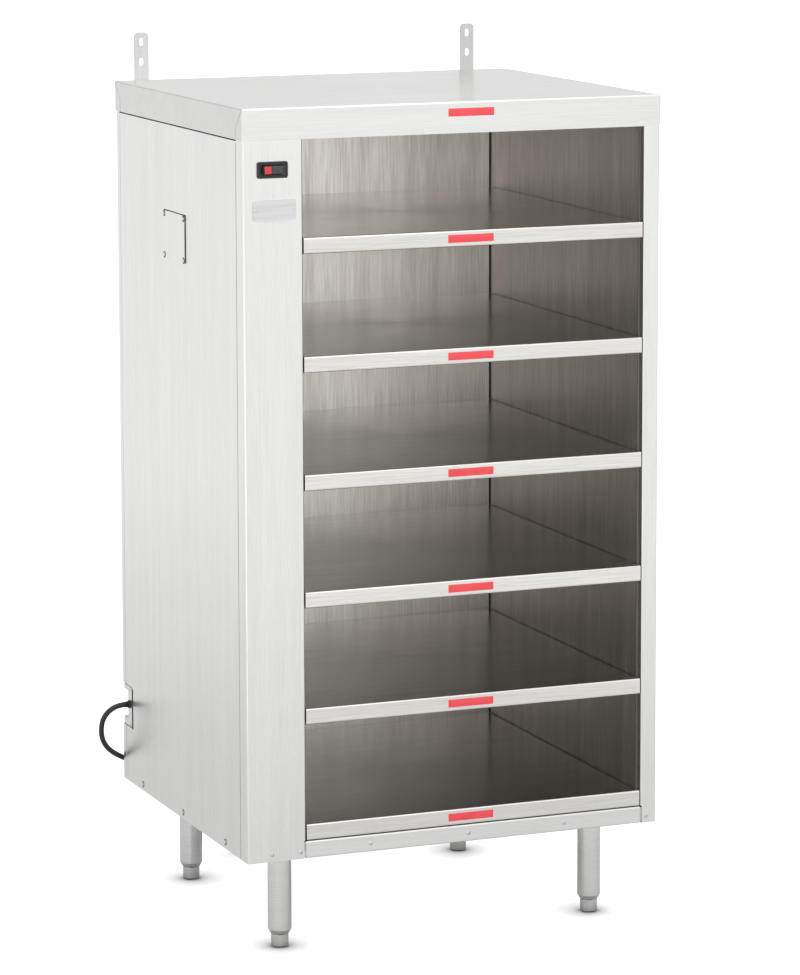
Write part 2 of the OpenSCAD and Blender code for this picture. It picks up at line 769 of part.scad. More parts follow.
// Foot: rounded hexagon with a chamfered sole, a shoulder and a stem up into the leg
module foot(k) {
    r = foot_d / 2;
    flat = foot_d * 0.955;
    color("silver") translate([leg_places[k][0], leg_places[k][1], 0]) {
        intersection() {
            rotate_extrude() polygon([[0, 0], [r - 2.4, 0], [r, 2.4], [r, foot_h - 1],
                [r - 1, foot_h], [0, foot_h]]);
            rotate(15) cylinder(h = foot_h, r = flat / 2 / cos(30), $fn = 6);
        }
        cylinder(h = foot_h + stem_l, d = stem_d);
    }
}

// Wall bracket: a strip that lies on the rear panel, steps out over the cap flange and
// stands above the cap with two slots and rounded corners
module strap_side() {
    step = cap_over;
    low = cap_z - strap_drop;
    bend_low = cap_z - 8;
    bend_high = cap_z - 3;
    polygon([[y_b, low], [y_b + strap_t, low], [y_b + strap_t, bend_low],
        [y_b + step + strap_t, bend_high], [y_b + step + strap_t, top_z + strap_rise],
        [y_b + step, top_z + strap_rise], [y_b + step, bend_high], [y_b, bend_low]]);
}

module strap_face(x) {
    h = strap_drop + cap_h + strap_rise;
    r = strap_corner;
    translate([x - strap_w / 2, cap_z - strap_drop]) {
        square([strap_w, h - r]);
        translate([r, 0]) square([strap_w - 2 * r, h]);
        for (a = [r, strap_w - r]) translate([a, h - r]) circle(r);
    }
}

module wall_bracket(k) {
    x = strap_xs[k];
    color("gainsboro") difference() {
        intersection() {
            along_x(x - strap_w / 2, strap_w) strap_side();
            along_y(y_b - eps, strap_t + cap_over + 2 * eps) strap_face(x);
        }
        for (z = [top_z + slot_z, top_z + slot_z + slot_pitch]) slot(x, z);
        holes_y([strap_foot_pts[k]], y_b - eps, strap_t + cap_over + 2 * eps, hole_d);
        holes_y([for (z = strap_zs) [x, z]], y_b - eps, strap_t + cap_over + 2 * eps, hole_d);
    }
}

// Upright slot through a bracket
module slot(x, z) {
    half = (slot_l - slot_w) / 2;
    deep = strap_t + 2 * eps;
    y0 = y_b + cap_over - eps;
    holes_y([[x, z - half], [x, z + half]], y0, deep, slot_w);
    block([x - slot_w / 2, y0, z - half], [x + slot_w / 2, y0 + deep, z + half]);
}

module service_cover() {
    color("whitesmoke") difference() {
        block([x_l - cover_t, y_f + cover_y, cover_z],
            [x_l, y_f + cover_y + cover_w, cover_z + cover_h]);
        holes_x(cover_pts, x_l - cover_t - eps, cover_t + 2 * eps, hole_d);
    }
}

module side_screws() {
    color("silver") {
        for (p = foot_row) translate([x_l, p[0], p[1]]) rotate([0, -90, 0]) screw();
        for (p = foot_row) translate([x_r, p[0], p[1]]) rotate([0, 90, 0]) screw();
        for (p = cover_pts) translate([x_l - cover_t, p[0], p[1]]) rotate([0, -90, 0]) screw();
        for (p = plate_screw_pts) translate([cord_plate_x, p[0], p[1]]) rotate([0, -90, 0])
            scale(0.8) screw();
    }
}

module front_screws() {
    color("silver") for (p = front_pts) translate([p[0], y_f, p[1]]) rotate([90, 0, 0]) screw();
}

module rear_screws() {
    color("silver") {
        for (p = rear_pts) translate([p[0], y_b, p[1]]) rotate([-90, 0, 0]) screw();
        for (p = strap_foot_pts) translate([p[0], y_b + strap_t, p[1]])
            rotate([-90, 0, 0]) screw();
        for (p = strap_pts) translate([p[0], y_b + cap_over + strap_t, p[1]])
            rotate([-90, 0, 0]) screw();
    }
}

// Switch frame and housing, with a round cavity in which the rocker turns
module switch_frame() {
    w = switch_w;
    h = switch_h;
    color([0.07, 0.07, 0.08]) translate([switch_cx, 0, switch_cz]) difference() {
        union() {
            intersection() {
                translate([0, y_f, 0]) rotate([90, 0, 0]) linear_extrude(switch_t)
                    translate([-w / 2, -h / 2]) round_rect(w, h, 3);
                frame_bevel(w, h);
            }
            block([-w / 2 + 3.4, y_f - eps, -h / 2 + 2.9], [w / 2 - 3.4, y_f + body_back, h / 2 - 2.9]);
        }
        translate([0, pivot_y, -rocker_h / 2 - rocker_fit])
            cylinder(h = rocker_h + 2 * rocker_fit, r = rocker_r + rocker_fit);
    }
}

// Front of the switch frame: its rim slopes away to all four sides
module frame_bevel(w, h) {
    e = 1.2;
    y0 = y_f;
    intersection() {
        translate([0, 0, -h / 2]) linear_extrude(h)
            polygon([[-w / 2, y0], [-w / 2, y0 - e], [-w / 2 + 2, y0 - switch_t],
                [w / 2 - 2, y0 - switch_t], [w / 2, y0 - e], [w / 2, y0]]);
        along_x(-w / 2, w)
            polygon([[y0, -h / 2], [y0 - e, -h / 2], [y0 - switch_t, -h / 2 + 2],
                [y0 - switch_t, h / 2 - 2], [y0 - e, h / 2], [y0, h / 2]]);
    }
}

// Rocker seen from above: a round back and two faces that meet in a shallow vee
module rocker_plan() {
    v = pivot_back - dip;
    wide = 2 * rocker_r;
    rim = v + wide * tan(rocker_tilt);
    intersection() {
        circle(rocker_r);
        polygon([[-wide, -rim], [0, -v], [wide, -rim], [wide, 8], [-wide, 8]]);
    }
}

module lens_plan() {
    translate([-rocker_reach + 1, -rocker_tip - eps]) square([lens_l - 1, 4]);
}

module in_rocker() {
    translate([switch_cx, pivot_y, switch_cz]) rotate(rocker_tilt) children();
}

module rocker() {
    color([0.09, 0.09, 0.1]) in_rocker() difference() {
        translate([0, 0, -rocker_h / 2]) linear_extrude(rocker_h) rocker_plan();
        translate([0, 0, -rocker_h / 2 + 0.6]) linear_extrude(rocker_h - 1.2) lens_plan();
    }
}

module rocker_lens() {
    color([0.85, 0.1, 0.12]) in_rocker() translate([0, 0, -rocker_h / 2 + 0.6])
        linear_extrude(rocker_h - 1.2) intersection() {
            rocker_plan();
            lens_plan();
        }
}

// Cord plate: a C behind the notch, open to the rear, with the outlet in its web
module cord_plate() {
    top = notch_high - arm_gap;
    color("lightgray") difference() {
        block([cord_plate_x, web_y, notch_low + 0.5], [cord_plate_x + t, y_b - 2 * t, top]);
        block([cord_plate_x - eps, pocket_y, pocket_low], [cord_plate_x + 2 * t, y_b, pocket_high]);
        holes_x([[outlet_y, lead_z]], cord_plate_x - eps, 2 * t + eps, collar_d - 3);
        holes_x(plate_screw_pts, cord_plate_x - eps, 2 * t + eps, hole_d * 0.8);
    }
}

// Cord pocket: folded recess behind the cord plate, open to the side and to the rear
module cord_pocket() {
    x0 = cord_plate_x + t;
    x1 = x_l + plate_back + t + pocket_w;
    color("silver") difference() {
        union() {
            block([x0, pocket_y, pocket_low], [x1, y_b, pocket_high]);
            block([x0, web_y + 2, pocket_high - 16], [x0 + t, pocket_y + t, pocket_high + arm_high]);
            block([x0, web_y + 2, notch_low + 0.5], [x0 + t, pocket_y + t, pocket_low + 16]);
        }
        block([x0 - eps, pocket_y + t, pocket_low + t], [x1 - t, y_b + eps, pocket_high - t]);
        holes_x(plate_screw_pts, x0 - eps, 2 * t + eps, hole_d * 0.8);
    }
}

// Strain relief: collar and tapered nose outside, tapered sleeve inside
module strain_relief() {
    r = collar_d / 2;
    neck = r - 1.7;
    color([0.08, 0.08, 0.08]) translate([cord_plate_x, outlet_y, lead_z]) rotate([0, -90, 0])
        rotate_extrude() polygon([[0, -tail_l], [cord_r + 0.2, -tail_l], [neck, -t - 3],
            [neck, 0], [r, 0], [r, collar_t - 1], [r - 1, collar_t], [neck, collar_t],
            [cord_r + 0.4, collar_t + nose_l], [0, collar_t + nose_l]]);
}

// Snap thermostats on the outer face of the left liner, one below each shelf
stat_y = y_f + body_d * 0.32;
stat_hole = 9;
function stat_z(n) = shelf_z(n) - shelf_lip / 2;
module thermostats() {
    color([0.2, 0.2, 0.22]) for (n = [1 : shelf_count])
        translate([lin_l - t, stat_y, stat_z(n)]) rotate([0, -90, 0]) {
            cylinder(h = 8, d = stat_d);
            linear_extrude(1.2) translate([-7, -stat_l / 2]) round_rect(14, stat_l, 4);
            translate([0, 0, -t]) cylinder(h = t + 1, d = stat_hole - 0.6);
            for (s = [-1, 1]) translate([-3, s * 5 - 0.4, 7]) cube([6, 0.8, 9]);
        }
}

// Terminal block on the outer face of the left liner, where the lead comes in
block_w = 22;
block_l = 46;
block_h = 24;
block_x = lin_l - t;
module terminal_block() {
    poles = 4;
    step = block_l / poles;
    color("ivory") difference() {
        block([block_x - block_w, outlet_y - block_l / 2 - 6, lead_z - block_h / 2],
            [block_x, outlet_y + block_l / 2 - 6, lead_z + block_h / 2]);
        for (k = [0 : poles - 1]) translate([block_x - block_w - eps,
            outlet_y - block_l / 2 - 6 + (k + 0.5) * step, lead_z - block_h / 2 + 5])
            rotate([0, 90, 0]) cylinder(h = 6, d = 5);
    }
}

// Wiring: the tail of the lead to the block, and the loom from the block to the switch
loom_r = 4;
loom_bend = 24;
loom_x = lin_l - t - loom_r - 0.3;
loom_y = outlet_y - 16;
loom_in = pivot_y + 12;
module wiring() {
    tail_x = cord_plate_x + tail_l;
    up_z = lead_z + block_h / 2;
    across_y = loom_in + loom_bend;
    color([0.12, 0.12, 0.13]) {
        translate([tail_x, outlet_y, lead_z]) rotate([0, 90, 0])
            cylinder(h = block_x - block_w - tail_x, r = cord_r);
        translate([loom_x, loom_y, up_z]) cylinder(h = switch_cz - loom_bend - up_z, r = loom_r);
        translate([loom_x, loom_y - loom_bend, switch_cz - loom_bend]) rotate([0, -90, 180])
            elbow();
        translate([loom_x, across_y, switch_cz]) rotate([-90, 0, 0])
            cylinder(h = loom_y - loom_bend - across_y, r = loom_r);
        translate([loom_x - loom_bend, across_y, switch_cz]) rotate(-90) elbow();
        translate([switch_cx + switch_w / 2 - 3.4, loom_in, switch_cz]) rotate([0, 90, 0])
            cylinder(h = loom_x - loom_bend - switch_cx - switch_w / 2 + 3.4, r = loom_r);
    }
}

// Quarter bend of the loom round the origin, from +x to +y
module elbow() {
    rotate_extrude(angle = 90) translate([loom_bend, 0]) circle(loom_r);
}

module cord_lead() {
    color([0.06, 0.06, 0.06]) tube(route, cord_r, 10);
}

module cord_coil() {
    color([0.06, 0.06, 0.06]) tube(coil_route, cord_r, 6);
}

// Moulded plug with two flat blades and a round earth pin, lying on the floor
module plug() {
    grip = 22;
    body_l = 20;
    color([0.07, 0.07, 0.07]) translate(plug_at) rotate([0, 0, end_angle]) rotate([0, 90, 0]) {
        cylinder(h = grip, r1 = cord_r + 1.5, r2 = 10);
        intersection() {
            translate([0, 0, grip]) cylinder(h = body_l, r = 16);
            block([-plug_r, -13, grip], [plug_r, 13, grip + body_l]);
        }
        for (s = [-1, 1]) block([-3.2, s * 6.35 - 0.75, grip + body_l],
            [3.2, s * 6.35 + 0.75, grip + body_l + 17]);
        translate([-8.5, 0, grip + body_l]) cylinder(h = 20, d = 4.8);
    }
}

top_cap();
left_side_panel();
right_side_panel();
control_column();
right_column();
rear_panel();
rear_post_left();
rear_post_right();
liner_left();
liner_right();
liner_rear();
liner_top();
shelf_deck(1);  // shelf_deck_1
shelf_deck(2);  // shelf_deck_2
shelf_deck(3);  // shelf_deck_3
shelf_deck(4);  // shelf_deck_4
shelf_deck(5);  // shelf_deck_5
shelf_deck(6);  // shelf_deck_6
shelf_tray(1);  // shelf_tray_1
shelf_tray(2);  // shelf_tray_2
shelf_tray(3);  // shelf_tray_3
shelf_tray(4);  // shelf_tray_4
shelf_tray(5);  // shelf_tray_5
shelf_tray(6);  // shelf_tray_6
heater_mat(1);  // heater_mat_1
heater_mat(2);  // heater_mat_2
heater_mat(3);  // heater_mat_3
heater_mat(4);  // heater_mat_4
heater_mat(5);  // heater_mat_5
heater_mat(6);  // heater_mat_6
base_rail();
base_pan();
leg_plates();
base_bolts();
leg(0);  // leg_front_left
leg(1);  // leg_front_right
leg(2);  // leg_rear_left
leg(3);  // leg_rear_right
foot(0);  // foot_front_left
foot(1);  // foot_front_right
foot(2);  // foot_rear_left
foot(3);  // foot_rear_right
wall_bracket(0);  // wall_bracket_left
wall_bracket(1);  // wall_bracket_right
service_cover();
side_screws();
front_screws();
rear_screws();
switch_frame();
rocker();
rocker_lens();
cord_plate();
cord_pocket();
strain_relief();
thermostats();
terminal_block();
wiring();
cord_lead();
cord_coil();
plug();
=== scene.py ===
"""Looks of an open-front heated shelf cabinet in brushed stainless sheet.

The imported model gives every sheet, leg and fitting. This file adds their finishes and the
pieces that the sheet-metal model keeps plain: the mains lead with its put-away coil and tie,
the moulded plug, the ribbed strain relief, cross-recess screws, the rocker switch, the red
strips on the lips, the plain plate on the control column, and a studio.
"""

import json
import logging
import math
from dataclasses import dataclass, field
from enum import Enum
from typing import Callable, Sequence

import bmesh
import bpy
from mathutils import Matrix, Vector

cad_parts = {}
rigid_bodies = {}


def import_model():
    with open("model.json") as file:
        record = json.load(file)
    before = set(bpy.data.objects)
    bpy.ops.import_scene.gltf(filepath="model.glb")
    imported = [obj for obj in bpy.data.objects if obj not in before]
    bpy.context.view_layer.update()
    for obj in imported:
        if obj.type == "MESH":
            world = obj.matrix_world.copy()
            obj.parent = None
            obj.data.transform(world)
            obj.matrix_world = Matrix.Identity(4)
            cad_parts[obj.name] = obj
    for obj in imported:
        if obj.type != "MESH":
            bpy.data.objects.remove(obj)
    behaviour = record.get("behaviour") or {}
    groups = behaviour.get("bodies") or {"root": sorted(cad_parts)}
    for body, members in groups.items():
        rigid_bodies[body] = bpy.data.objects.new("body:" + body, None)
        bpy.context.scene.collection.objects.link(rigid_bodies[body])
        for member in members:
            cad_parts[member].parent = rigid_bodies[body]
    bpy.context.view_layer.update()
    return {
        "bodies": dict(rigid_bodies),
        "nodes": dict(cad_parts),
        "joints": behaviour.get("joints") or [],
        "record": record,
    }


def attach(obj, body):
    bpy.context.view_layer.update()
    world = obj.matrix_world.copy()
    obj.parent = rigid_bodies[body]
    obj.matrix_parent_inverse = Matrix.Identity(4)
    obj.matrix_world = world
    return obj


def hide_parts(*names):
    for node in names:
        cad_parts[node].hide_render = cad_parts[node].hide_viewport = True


LOG = logging.getLogger("cabinet")
MM = 0.001
Point = tuple[float, float, float]
Test = Callable[[Vector, Vector], bool]


def linear(code: str) -> tuple[float, float, float, float]:
    """Turns an sRGB hex colour into linear red, green, blue and alpha.

    Args:
        code: colour such as "#C8C8C6".

    Returns:
        The four linear channel values.
    """
    parts = [int(code[i : i + 2], 16) / 255 for i in (1, 3, 5)]
    red, green, blue = (c / 12.92 if c <= 0.04045 else ((c + 0.055) / 1.055) ** 2.4 for c in parts)
    return red, green, blue, 1.0


def add_node(
    tree: bpy.types.NodeTree,
    kind: str,
    traits: dict[str, object] | None = None,
    values: dict[str | int, object] | None = None,
    links: dict[str | int, bpy.types.NodeSocket] | None = None,
) -> bpy.types.Node:
    """Adds one shader node with its settings and links.

    Args:
        tree: node tree that gets the node.
        kind: the node's class, less its ShaderNode prefix.
        traits: attributes of the node itself.
        values: numbers and colours for its input sockets.
        links: output sockets to join to its input sockets.

    Returns:
        The new node.
    """
    node = tree.nodes.new("ShaderNode" + kind)
    for name, value in (traits or {}).items():
        setattr(node, name, value)
    for name, value in (values or {}).items():
        node.inputs[name].default_value = value
    for name, socket in (links or {}).items():
        tree.links.new(socket, node.inputs[name])
    return node


def blank_material(name: str) -> bpy.types.Material:
    """Makes an empty node material.

    Args:
        name: name of the material.

    Returns:
        The material with a cleared node tree.
    """
    material = bpy.data.materials.new(name)
    material.use_nodes = True
    material.node_tree.nodes.clear()
    return material


def close_material(
    material: bpy.types.Material,
    values: dict[str | int, object],
    links: dict[str | int, bpy.types.NodeSocket],
) -> bpy.types.Material:
    """Ends a material with its surface shader and output.

    Args:
        material: material whose patterns are made.
        values: fixed values on the shader's own sockets.
        links: patterns that drive the shader.

    Returns:
        The finished material.
    """
    tree = material.node_tree
    shader = add_node(tree, "BsdfPrincipled", values=values, links=links)
    add_node(tree, "OutputMaterial", links={"Surface": shader.outputs[0]})
    return material


class Grain(Enum):
    """Way in which the belt ran when a piece was brushed, as the axes that it ran along."""

    ACROSS = (0,)
    DEEP = (1,)
    UPRIGHT = (2,)
    ROUND = (0, 1)


@dataclass(frozen=True)
class BrushedStainless:
    """Type 304 sheet with a number 4 belt finish.

    The belt leaves straight hairlines, so highlights smear across them, and thin sheet is
    never quite flat, so reflections drift in slow waves.
    """

    name: str
    grain: Grain
    light: str = "#E6E6E5"
    dark: str = "#DADAD9"
    roughness: float = 0.30
    spread: float = 0.45
    hairline_mm: float = 1.1
    streak_mm: float = 75.0
    wave_mm: float = 210.0
    wave_depth_mm: float = 0.55
    hairline_depth_mm: float = 0.012
    # Painted shade: faces that look along the given way get their colour multiplied by this factor, both
    # ways when asked
    facing_shade: float = 1.0
    facing_shade_way: Point = (0.0, 0.0, 0.0)
    facing_shade_both_ways: bool = False

    def across(self, along_mm: float, pitch_mm: float) -> tuple[float, float, float]:
        """Gives a mapping scale that is long along the grain and fine across it.

        Args:
            along_mm: size of the pattern along the grain.
            pitch_mm: its size across the grain.

        Returns:
            The scale along X, Y and Z.
        """
        scale = [1 / (pitch_mm * MM)] * 3
        for axis in self.grain.value:
            scale[axis] = 1 / (along_mm * MM)
        return scale[0], scale[1], scale[2]

    def painted_facing_shade(self, tree: bpy.types.NodeTree, colour: bpy.types.Node) -> bpy.types.Node:
        """Paints shade onto faces by the way they look: where the true normal points along the given way,
        the colour is multiplied down, as painted shade.

        Args:
            tree: node tree of the finish.
            colour: node that mixes the sheet's colour.

        Returns:
            The node whose colour output replaces it.
        """
        normal = add_node(tree, "NewGeometry").outputs["True Normal"]
        facing = add_node(
            tree, "VectorMath", traits={"operation": "DOT_PRODUCT"},
            values={1: self.facing_shade_way}, links={0: normal},
        ).outputs["Value"]
        if self.facing_shade_both_ways:
            facing = add_node(
                tree, "Math", traits={"operation": "ABSOLUTE"}, links={0: facing}
            ).outputs[0]
        share = add_node(
            tree, "MapRange", values={"From Min": 0.55, "From Max": 0.9}, links={"Value": facing}
        )
        return add_node(
            tree, "Mix", traits={"data_type": "RGBA", "blend_type": "MULTIPLY"},
            values={7: (self.facing_shade, self.facing_shade, self.facing_shade, 1.0)},
            links={0: share.outputs[0], 6: colour.outputs[2]},
        )

    def build(self) -> bpy.types.Material:
        """Builds the finish.

        Returns:
            The material.
        """
        material = blank_material(self.name)
        tree = material.node_tree
        place = add_node(tree, "TexCoord").outputs["Object"]
        # Real hairlines are about 0.2 mm apart, too fine for the picture, so they are drawn coarser.
        fine = add_node(
            tree, "Mapping", values={"Scale": self.across(self.streak_mm, self.hairline_mm)},
            links={"Vector": place},
        )
        hairs = add_node(
            tree, "TexNoise", values={"Scale": 1.0, "Detail": 3.0, "Roughness": 0.62},
            links={"Vector": fine.outputs[0]},
        )
        broad = add_node(
            tree, "Mapping", values={"Scale": self.across(520.0, 24.0)}, links={"Vector": place}
        )
        bands = add_node(
            tree, "TexNoise", values={"Scale": 1.0, "Detail": 2.0, "Roughness": 0.5},
            links={"Vector": broad.outputs[0]},
        )
        both = add_node(
            tree, "Math", traits={"operation": "MULTIPLY_ADD"}, values={1: 0.55},
            links={0: bands.outputs[0], 2: hairs.outputs[0]},
        )
        share = add_node(
            tree, "MapRange",
            values={"From Min": 0.50, "From Max": 1.05},
            links={"Value": both.outputs[0]},
        )
        colour = add_node(
            tree, "Mix", traits={"data_type": "RGBA"},
            values={6: linear(self.dark), 7: linear(self.light)}, links={0: share.outputs[0]},
        )
        # Painted shade by facing, where a factor is set
        if self.facing_shade != 1.0:
            colour = self.painted_facing_shade(tree, colour)
        rough = add_node(
            tree, "MapRange",
            values={
                "From Min": 0.25, "From Max": 0.75,
                "To Min": self.roughness + 0.06, "To Max": self.roughness - 0.05,
            },
            links={"Value": hairs.outputs[0]},
        )
        waves = add_node(
            tree, "TexNoise",
            values={"Scale": 1 / (self.wave_mm * MM), "Detail": 1.0, "Roughness": 0.4},
            links={"Vector": place},
        )
        buckle = add_node(
            tree, "Bump", values={"Distance": self.wave_depth_mm * MM},
            links={"Height": waves.outputs[0]},
        )
        relief = add_node(
            tree, "Bump", values={"Distance": self.hairline_depth_mm * MM},
            links={"Height": hairs.outputs[0], "Normal": buckle.outputs[0]},
        )
        return close_material(
            material,
            {"Metallic": 1.0, "Anisotropic": self.spread},
            {"Base Color": colour.outputs[2], "Roughness": rough.outputs[0], "Normal": relief.outputs[0]},
        )


@dataclass(frozen=True)
class SpeckledFinish:
    """A finish with an even fine texture all over, such as moulded plastic or rolled zinc.

    The texture breaks the highlight up a little and shifts the colour from spot to spot.
    """

    name: str
    light: str
    dark: str
    grain_mm: float
    roughness: float
    metallic: float = 0.0
    depth_mm: float = 0.02
    ior: float = 1.5
    coat: float = 0.0
    crystal: bool = False

    def build(self) -> bpy.types.Material:
        """Builds the finish.

        Returns:
            The material.
        """
        material = blank_material(self.name)
        tree = material.node_tree
        place = add_node(tree, "TexCoord").outputs["Object"]
        scale = 1 / (self.grain_mm * MM)
        if self.crystal:
            spots = add_node(
                tree, "TexVoronoi", values={"Scale": scale}, links={"Vector": place}
            ).outputs["Color"]
        else:
            spots = add_node(
                tree, "TexNoise", values={"Scale": scale, "Detail": 3.0}, links={"Vector": place}
            ).outputs[0]
        smear = add_node(
            tree, "TexNoise", values={"Scale": scale / 9, "Detail": 2.0}, links={"Vector": place}
        )
        share = add_node(
            tree, "Math", traits={"operation": "MULTIPLY_ADD", "use_clamp": True},
            values={1: 0.6}, links={0: spots, 2: smear.outputs[0]},
        )
        fade = add_node(
            tree, "MapRange",
            values={"From Min": 0.45, "From Max": 1.0}, links={"Value": share.outputs[0]},
        )
        colour = add_node(
            tree, "Mix", traits={"data_type": "RGBA"},
            values={6: linear(self.dark), 7: linear(self.light)}, links={0: fade.outputs[0]},
        )
        rough = add_node(
            tree, "MapRange",
            values={"To Min": self.roughness - 0.05, "To Max": self.roughness + 0.07},
            links={"Value": smear.outputs[0]},
        )
        relief = add_node(
            tree, "Bump", values={"Distance": self.depth_mm * MM},
            links={"Height": spots},
        )
        values: dict[str | int, object] = {"Metallic": self.metallic, "Coat Weight": self.coat}
        if not self.metallic:
            values["IOR"] = self.ior
        return close_material(
            material, values,
            {"Base Color": colour.outputs[2], "Roughness": rough.outputs[0], "Normal": relief.outputs[0]},
        )


class Finish(Enum):
    """Every finish on the cabinet, with its recipe."""

    # Outer sheets: light belt-brushed stainless, the belt run upright on the body
    BODY_UPRIGHT = BrushedStainless("stainless_body_upright", Grain.UPRIGHT)
    BODY_ACROSS = BrushedStainless("stainless_body_across", Grain.ACROSS)
    # Jamb: the face of the right column that looks into the bays is painted darker, as painted shade, to
    # match the dim liner
    BODY_JAMB = BrushedStainless(
        "stainless_body_jamb_painted_shade", Grain.UPRIGHT, facing_shade=0.62, facing_shade_way=(-1.0, 0.0, 0.0)
    )
    # Cap: brighter polish on top that mirrors the wall brackets; its side flanges are painted darker, as
    # painted shade
    CAP = BrushedStainless(
        "stainless_cap", Grain.ACROSS,
        roughness=0.22, wave_depth_mm=0.4, facing_shade=0.83, facing_shade_way=(1.0, 0.0, 0.0),
        facing_shade_both_ways=True,
    )
    # Liner: plainer sheet in a warmer tone; the side walls are painted darker than the rear wall, as
    # painted shade, and faces that look to the front far darker still, as painted shade that hides the
    # front bends' highlight
    LINER_WALL = BrushedStainless(
        "stainless_liner", Grain.UPRIGHT, light="#C0BBB6", dark="#99938D", roughness=0.34, hairline_mm=1.8,
        facing_shade=0.3, facing_shade_way=(0.0, -1.7, 0.0),
    )
    # Rear wall: the same steel painted lighter than the side walls, as painted light
    LINER_REAR = BrushedStainless(
        "stainless_liner_rear", Grain.UPRIGHT, light="#F2EFEB", dark="#C9C4BE",
        roughness=0.36, hairline_mm=2.2
    )
    # Deck: its lip and other faces that look to the front are painted a little darker than the top, as
    # painted shade
    DECK = BrushedStainless(
        "stainless_deck", Grain.ACROSS, light="#EEECE9", dark="#D8D5D1", roughness=0.22, facing_shade=0.94,
        facing_shade_way=(0.0, -1.0, 0.0),
    )
    TRAY = BrushedStainless("aluminised_tray", Grain.DEEP, light="#B9B8B5", dark="#96958F", roughness=0.42)
    BRACKET = BrushedStainless(
        "stainless_strap", Grain.UPRIGHT, light="#C9C9C8", dark="#B9B9B8", roughness=0.32, streak_mm=40.0
    )
    # Tube: polished round and round on a lathe, so lights smear up and down it in long bands
    TUBE = BrushedStainless(
        "stainless_tube", Grain.ROUND, light="#DEDEDC", dark="#CECECC", roughness=0.16, spread=0.0,
        streak_mm=30.0, wave_depth_mm=0.1, hairline_depth_mm=0.03,
    )
    # Zinc: hot-dip crystals of about 7 mm on hidden plates
    ZINC = SpeckledFinish("galvanised_zinc", "#CACCCD", "#9FA2A4", 7.0, 0.45, metallic=1.0, crystal=True)
    FOOT = BrushedStainless(
        "nickel_plated_foot", Grain.ROUND, light="#D8D7D5", dark="#C2C1BF", roughness=0.20, spread=0.0,
        streak_mm=20.0, wave_depth_mm=0.1, hairline_depth_mm=0.03,
    )
    SCREW = SpeckledFinish(
        "bright_zinc_screw", "#D4D4D2", "#B8B8B6", 0.9, 0.30, metallic=1.0, depth_mm=0.01
    )
    FOIL = SpeckledFinish("heater_foil", "#D8CBA6", "#A8976A", 5.0, 0.35, metallic=1.0, depth_mm=0.15)
    ABS_BLACK = SpeckledFinish("abs_black", "#1B1B1D", "#101012", 0.8, 0.32, depth_mm=0.008, ior=1.53)
    ABS_GREY = SpeckledFinish("abs_charcoal", "#3A3A3C", "#2B2B2D", 0.8, 0.36, depth_mm=0.008, ior=1.53)
    LENS_RED = SpeckledFinish(
        "polycarbonate_lens", "#E0303A", "#C01822", 1.6, 0.14, depth_mm=0.004, ior=1.58
    )
    PVC_BLACK = SpeckledFinish("pvc_cord", "#1A1A1B", "#0F0F10", 1.2, 0.42, depth_mm=0.012, ior=1.52)
    SLEEVE = SpeckledFinish("fibreglass_sleeve", "#222224", "#121213", 1.5, 0.62, depth_mm=0.05)
    # Black foam: laid in the seams, under the cover's edge and under screws, where they would be in shade,
    # as painted shadow
    FOAM = SpeckledFinish("black_foam_painted_shadow", "#1E1E1F", "#0E0E0F", 0.9, 0.85, depth_mm=0.12)
    SEALANT = SpeckledFinish("silicone_sealant", "#4C4843", "#34312D", 3.0, 0.45, depth_mm=0.05, ior=1.41)
    # Seam line: grey silicone bead that stands in for the shadow line between two sheets, as painted shade
    SEAM_GREY = SpeckledFinish(
        "grey_seam_painted_shadow", "#8E8C88", "#787672", 3.0, 0.5, depth_mm=0.04, ior=1.41
    )
    PHENOLIC = SpeckledFinish("phenolic_black", "#2A2A2C", "#1B1B1D", 1.0, 0.40, depth_mm=0.01)
    CERAMIC = SpeckledFinish("glazed_steatite", "#E8E0CC", "#D8CFB8", 1.5, 0.30, depth_mm=0.01, coat=0.3)
    VINYL_RED = SpeckledFinish("vinyl_red", "#E4474D", "#D63A41", 2.2, 0.38, depth_mm=0.01, ior=1.54)
    PLATE_SATIN = BrushedStainless(
        "satin_alloy_plate", Grain.ACROSS, light="#DCDCDC", dark="#C4C4C4", roughness=0.36,
        hairline_mm=0.9, wave_depth_mm=0.05,
    )
    BRASS = SpeckledFinish(
        "nickel_brass_blade", "#D9D2BC", "#BDB294", 1.0, 0.24, metallic=1.0, depth_mm=0.006
    )

    def material(self) -> bpy.types.Material:
        """Builds the finish once and gives the same material after that."""
        return bpy.data.materials.get(self.value.name) or self.value.build()


# Modelling helpers, used as by hand: start a primitive, pick parts in edit mode, run operators


def deselect() -> None:
    """Leaves edit mode and deselects every object."""
    if bpy.context.object is not None and bpy.context.object.mode != "OBJECT":
        bpy.ops.object.mode_set(mode="OBJECT")
    bpy.ops.object.select_all(action="DESELECT")


def activate(pieces: Sequence[bpy.types.Object]) -> None:
    """Selects some pieces alone and makes the first one active.

    Args:
        pieces: the pieces.
    """
    deselect()
    for piece in pieces:
        piece.select_set(True)
    bpy.context.view_layer.objects.active = pieces[0]


def named(name: str) -> bpy.types.Object:
    """Names the active object and its mesh.

    Args:
        name: the piece's name.

    Returns:
        The active object.
    """
    piece = bpy.context.active_object
    piece.name = name
    piece.data.name = name
    return piece


def edit(piece: bpy.types.Object) -> None:
    """Opens one piece in edit mode with nothing picked.

    Args:
        piece: the piece to open.
    """
    activate([piece])
    bpy.ops.object.mode_set(mode="EDIT")
    bpy.ops.mesh.select_mode(type="FACE")
    bpy.ops.mesh.select_all(action="DESELECT")


def face_out() -> None:
    """Turns every face of the open mesh outwards."""
    bpy.ops.mesh.select_all(action="SELECT")
    bpy.ops.mesh.normals_make_consistent(inside=False)


